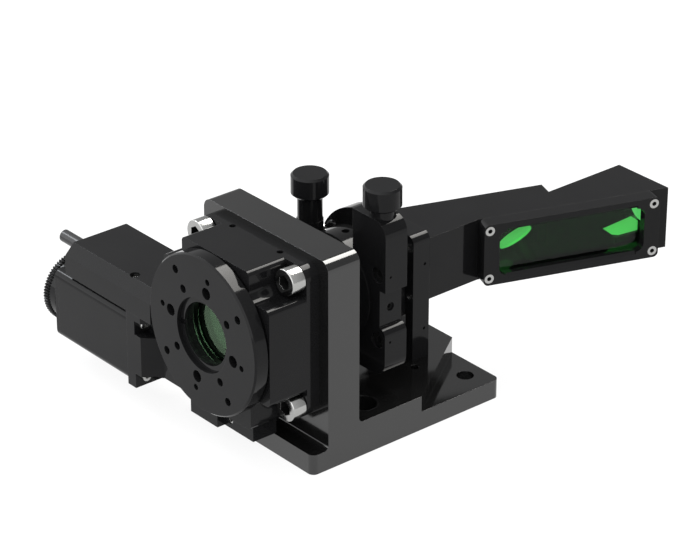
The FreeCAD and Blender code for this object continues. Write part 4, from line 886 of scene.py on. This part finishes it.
@dataclass
class Arm:
    """Slanted arm with its window and the optics inside.

    Attributes:
        slant_deg: Turn of the window's face away from the beam.
        corner: X and Y where the slanted side starts.
        frame_length: Length of the window frame.
        frame_thickness: Thickness of the window frame.
        screw_inset: Distance of the screws from the frame's ends.
        screw_rise: Distance of the screws from the beam's height.
        screw_sink: How far the screw heads lie below the frame's face.
        screw: The window screw's own shape.
    """

    slant_deg: float = 19.5
    corner: tuple[float, float] = (13.0, 52.9)
    frame_length: float = 71.4
    frame_thickness: float = 6.1
    screw_inset: float = 2.35
    screw_rise: float = 9.85
    screw_sink: float = 0.2
    screw: SocketHead = field(default_factory=lambda: SocketHead(
        radius=1.9, height=2.0, shank=1.0, reach=0.0, across=1.46, depth=1.3))

    def build(self, shop: Workshop) -> None:
        """Dress the arm, with glowing optics as painted light, and put dark cups into its window screws'
        sockets as painted shade.

        Args:
            shop: Where nodes are dressed and pieces are made.
        """
        shop.dress(FINE_BLACK, "arm_housing", "disc_post", "plate_holder", "window_frame")
        shop.dress(SCREW_STEEL, "arm_screws", "window_screws")
        shop.dress(GREEN_GLASS, "window_glass")
        # Painted light: the polarizer disc and plate glow by emission.
        shop.dress(PAINTED_GLOW_GLASS, "polarizer_disc", "polarizer_plate")
        self.sockets(shop)

    def on_face(self, run: float, rise: float, out: float) -> Matrix:
        """Frame of a point on the slanted side.

        Args:
            run: Distance along the side.
            rise: Height above the beam.
            out: Distance out from the side.

        Returns:
            The matrix that takes Z to the side's outward direction and the origin to the point.
        """
        slant = math.radians(self.slant_deg)
        along = Vector((math.sin(slant), math.cos(slant), 0.0))
        outward = Vector((math.cos(slant), -math.sin(slant), 0.0))
        upward = Vector((0.0, 0.0, 1.0))
        spot = Vector((*self.corner, BEAM_HEIGHT)) + along * run + outward * out + upward * rise
        turn = Matrix((along, upward, outward)).transposed().to_4x4()
        return Matrix.Translation(spot) @ turn

    def sockets(self, shop: Workshop) -> None:
        """Make the dark cups that paint shade into the window screws' sockets.

        Args:
            shop: Where pieces are made.
        """
        seat = self.frame_thickness - self.screw_sink - self.screw.height
        shade_cups = []
        for run in (self.screw_inset, self.frame_length - self.screw_inset):
            for rise in (-self.screw_rise, self.screw_rise):
                shade_cup = self.screw.shade_lining()
                bmesh.ops.transform(shade_cup, matrix=self.on_face(run, rise, seat), verts=shade_cup.verts)
                shade_cups.append(shade_cup)
        # Painted shade: a dark cup inside each window screw's socket.
        shop.piece("window_screw_socket_shade", gathered(shade_cups), "root", PLUG_AND_SOCKET_SHADE_BLACK)


@dataclass(frozen=True)
class Panel:
    """Flat studio light.

    Attributes:
        name: The light's name.
        way: Direction from the part to the light's middle.
        distance: Distance in metres.
        width: Width in metres.
        height: Height in metres.
        radiance: Brightness of its face.
        colour: Colour of its light.
    """

    name: str
    way: tuple[float, float, float]
    distance: float
    width: float
    height: float
    radiance: float
    colour: Colour

    def build(self, target: Vector) -> None:
        """Hang the light so that it faces the part.

        Args:
            target: The point that it faces.
        """
        data = bpy.data.lights.new(self.name, "AREA")
        data.shape = "RECTANGLE"
        data.size = self.width
        data.size_y = self.height
        data.color = self.colour
        data.energy = self.radiance * math.pi * self.width * self.height
        light = bpy.data.objects.new(self.name, data)
        bpy.context.scene.collection.objects.link(light)
        back = Vector(self.way).normalized()
        light.location = target + back * self.distance
        light.rotation_euler = back.to_track_quat("Z", "Y").to_euler()


@dataclass
class Studio:
    """Floor, lights and camera.

    Attributes:
        target: The point in metres that the lights face.
        panels: The studio lights.
        eye: Where the camera stands, in metres.
        right: The picture's direction to the right.
        up: The picture's direction upwards.
        back: The direction from the part to the camera.
        lens: The camera's focal length in millimetres.
        film: Width of the camera's film in millimetres.
        clip: Nearest and farthest distances in metres that the camera sees.
        floor_half: Half the floor's width in metres.
        floor_drop: How far the floor lies below the base, in metres.
        floor_glow: Strength of the floor's own light.
        front: Y of the directions where the air is brightest, and its strength there.
        rear: Y of the directions where the air is darkest, and its strength there.
        air_colour: Colour of the light from all round.
    """

    target: tuple[float, float, float] = (0.0, -0.02, 0.05)
    panels: tuple[Panel, ...] = (
        Panel("warm_panel", (-0.065, 0.58, 0.81), 2.2, 1.48, 0.8, 14.0, (1.0, 0.98, 0.94)),
        Panel("cool_strip", (-0.6863, -0.2563, 0.6784), 2.2, 0.6, 0.48, 14.0, (0.92, 0.96, 1.0)),
    )
    eye: tuple[float, float, float] = (0.778670, -0.657328, 0.577852)
    right: tuple[float, float, float] = (0.645439, 0.763810, 0.001679)
    up: tuple[float, float, float] = (-0.352374, 0.295813, 0.887878)
    back: tuple[float, float, float] = (0.677673, -0.573663, 0.460076)
    lens: float = 162.12
    film: float = 36.0
    clip: tuple[float, float] = (0.05, 50.0)
    floor_half: float = 6.0
    floor_drop: float = 0.00005
    floor_glow: float = 0.9
    front: tuple[float, float] = (-0.46, 2.55)
    rear: tuple[float, float] = (0.574, 0.41)
    air_colour: Colour = (0.99, 0.995, 1.0)

    def build(self) -> None:
        """Set up everything round the part."""
        self.floor()
        self.air()
        for panel in self.panels:
            panel.build(Vector(self.target))
        self.camera()

    def floor(self) -> None:
        """Lay a plain pale floor."""
        mesh = bmesh.new()
        bmesh.ops.create_grid(mesh, x_segments=4, y_segments=4, size=self.floor_half)
        bmesh.ops.translate(mesh, vec=(0, 0, -self.floor_drop), verts=mesh.verts)
        data = bpy.data.meshes.new("floor")
        mesh.to_mesh(data)
        mesh.free()
        chain = NodeChain("pale_floor")
        shader = chain.add("ShaderNodeBsdfPrincipled", Roughness=0.9)
        shader.inputs["Specular IOR Level"].default_value = 0.1
        shader.inputs["Emission Strength"].default_value = self.floor_glow
        cloud = chain.noise((3.0, 3.0, 3.0), 2.0)
        glow = chain.blend(cloud, (0.96, 0.96, 0.96), (1.0, 1.0, 1.0))
        base = chain.blend(cloud, (0.09, 0.09, 0.09), (0.11, 0.11, 0.11))
        chain.link(base, shader.inputs["Base Color"])
        chain.link(glow, shader.inputs["Emission Color"])
        chain.link(shader.outputs[0], chain.output.inputs["Surface"])
        data.materials.append(chain.material)
        floor = bpy.data.objects.new("floor", data)
        bpy.context.scene.collection.objects.link(floor)

    def air(self) -> None:
        """Fill the air with soft light, bright in front of the part and darker behind it."""
        world = bpy.data.worlds.new("studio_air")
        bpy.context.scene.world = world
        world.use_nodes = True
        tree = world.node_tree
        tree.nodes.clear()
        way = tree.nodes.new("ShaderNodeTexCoord")
        split = tree.nodes.new("ShaderNodeSeparateXYZ")
        shade = tree.nodes.new("ShaderNodeMapRange")
        glow = tree.nodes.new("ShaderNodeBackground")
        out = tree.nodes.new("ShaderNodeOutputWorld")
        tree.links.new(way.outputs["Generated"], split.inputs[0])
        tree.links.new(split.outputs["Y"], shade.inputs["Value"])
        ends = zip(("From Min", "To Min", "From Max", "To Max"), self.front + self.rear)
        for key, number in ends:
            shade.inputs[key].default_value = number
        tree.links.new(shade.outputs["Result"], glow.inputs["Strength"])
        glow.inputs["Color"].default_value = (*self.air_colour, 1.0)
        tree.links.new(glow.outputs[0], out.inputs[0])

    def camera(self) -> None:
        """Stand the camera where the photograph was taken from."""
        data = bpy.data.cameras.new("camera")
        data.lens = self.lens
        data.sensor_width = self.film
        data.clip_start, data.clip_end = self.clip
        camera = bpy.data.objects.new("camera", data)
        bpy.context.scene.collection.objects.link(camera)
        turn = Matrix((self.right, self.up, self.back)).transposed().to_4x4()
        camera.matrix_world = Matrix.Translation(self.eye) @ turn
        bpy.context.scene.camera = camera
        bpy.context.scene.view_settings.view_transform = "Standard"


def main() -> None:
    """Dress and build each sub-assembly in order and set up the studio."""
    logging.basicConfig(level=logging.INFO, format="%(message)s")
    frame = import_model()
    shop = Workshop(frame, Palette())
    for unit in (Bracket(), RotationStage(), WormDrive(), MotorUnit(), KinematicMount(), Arm()):
        unit.build(shop)
    Studio().build()


if __name__ == "__main__":
    main()
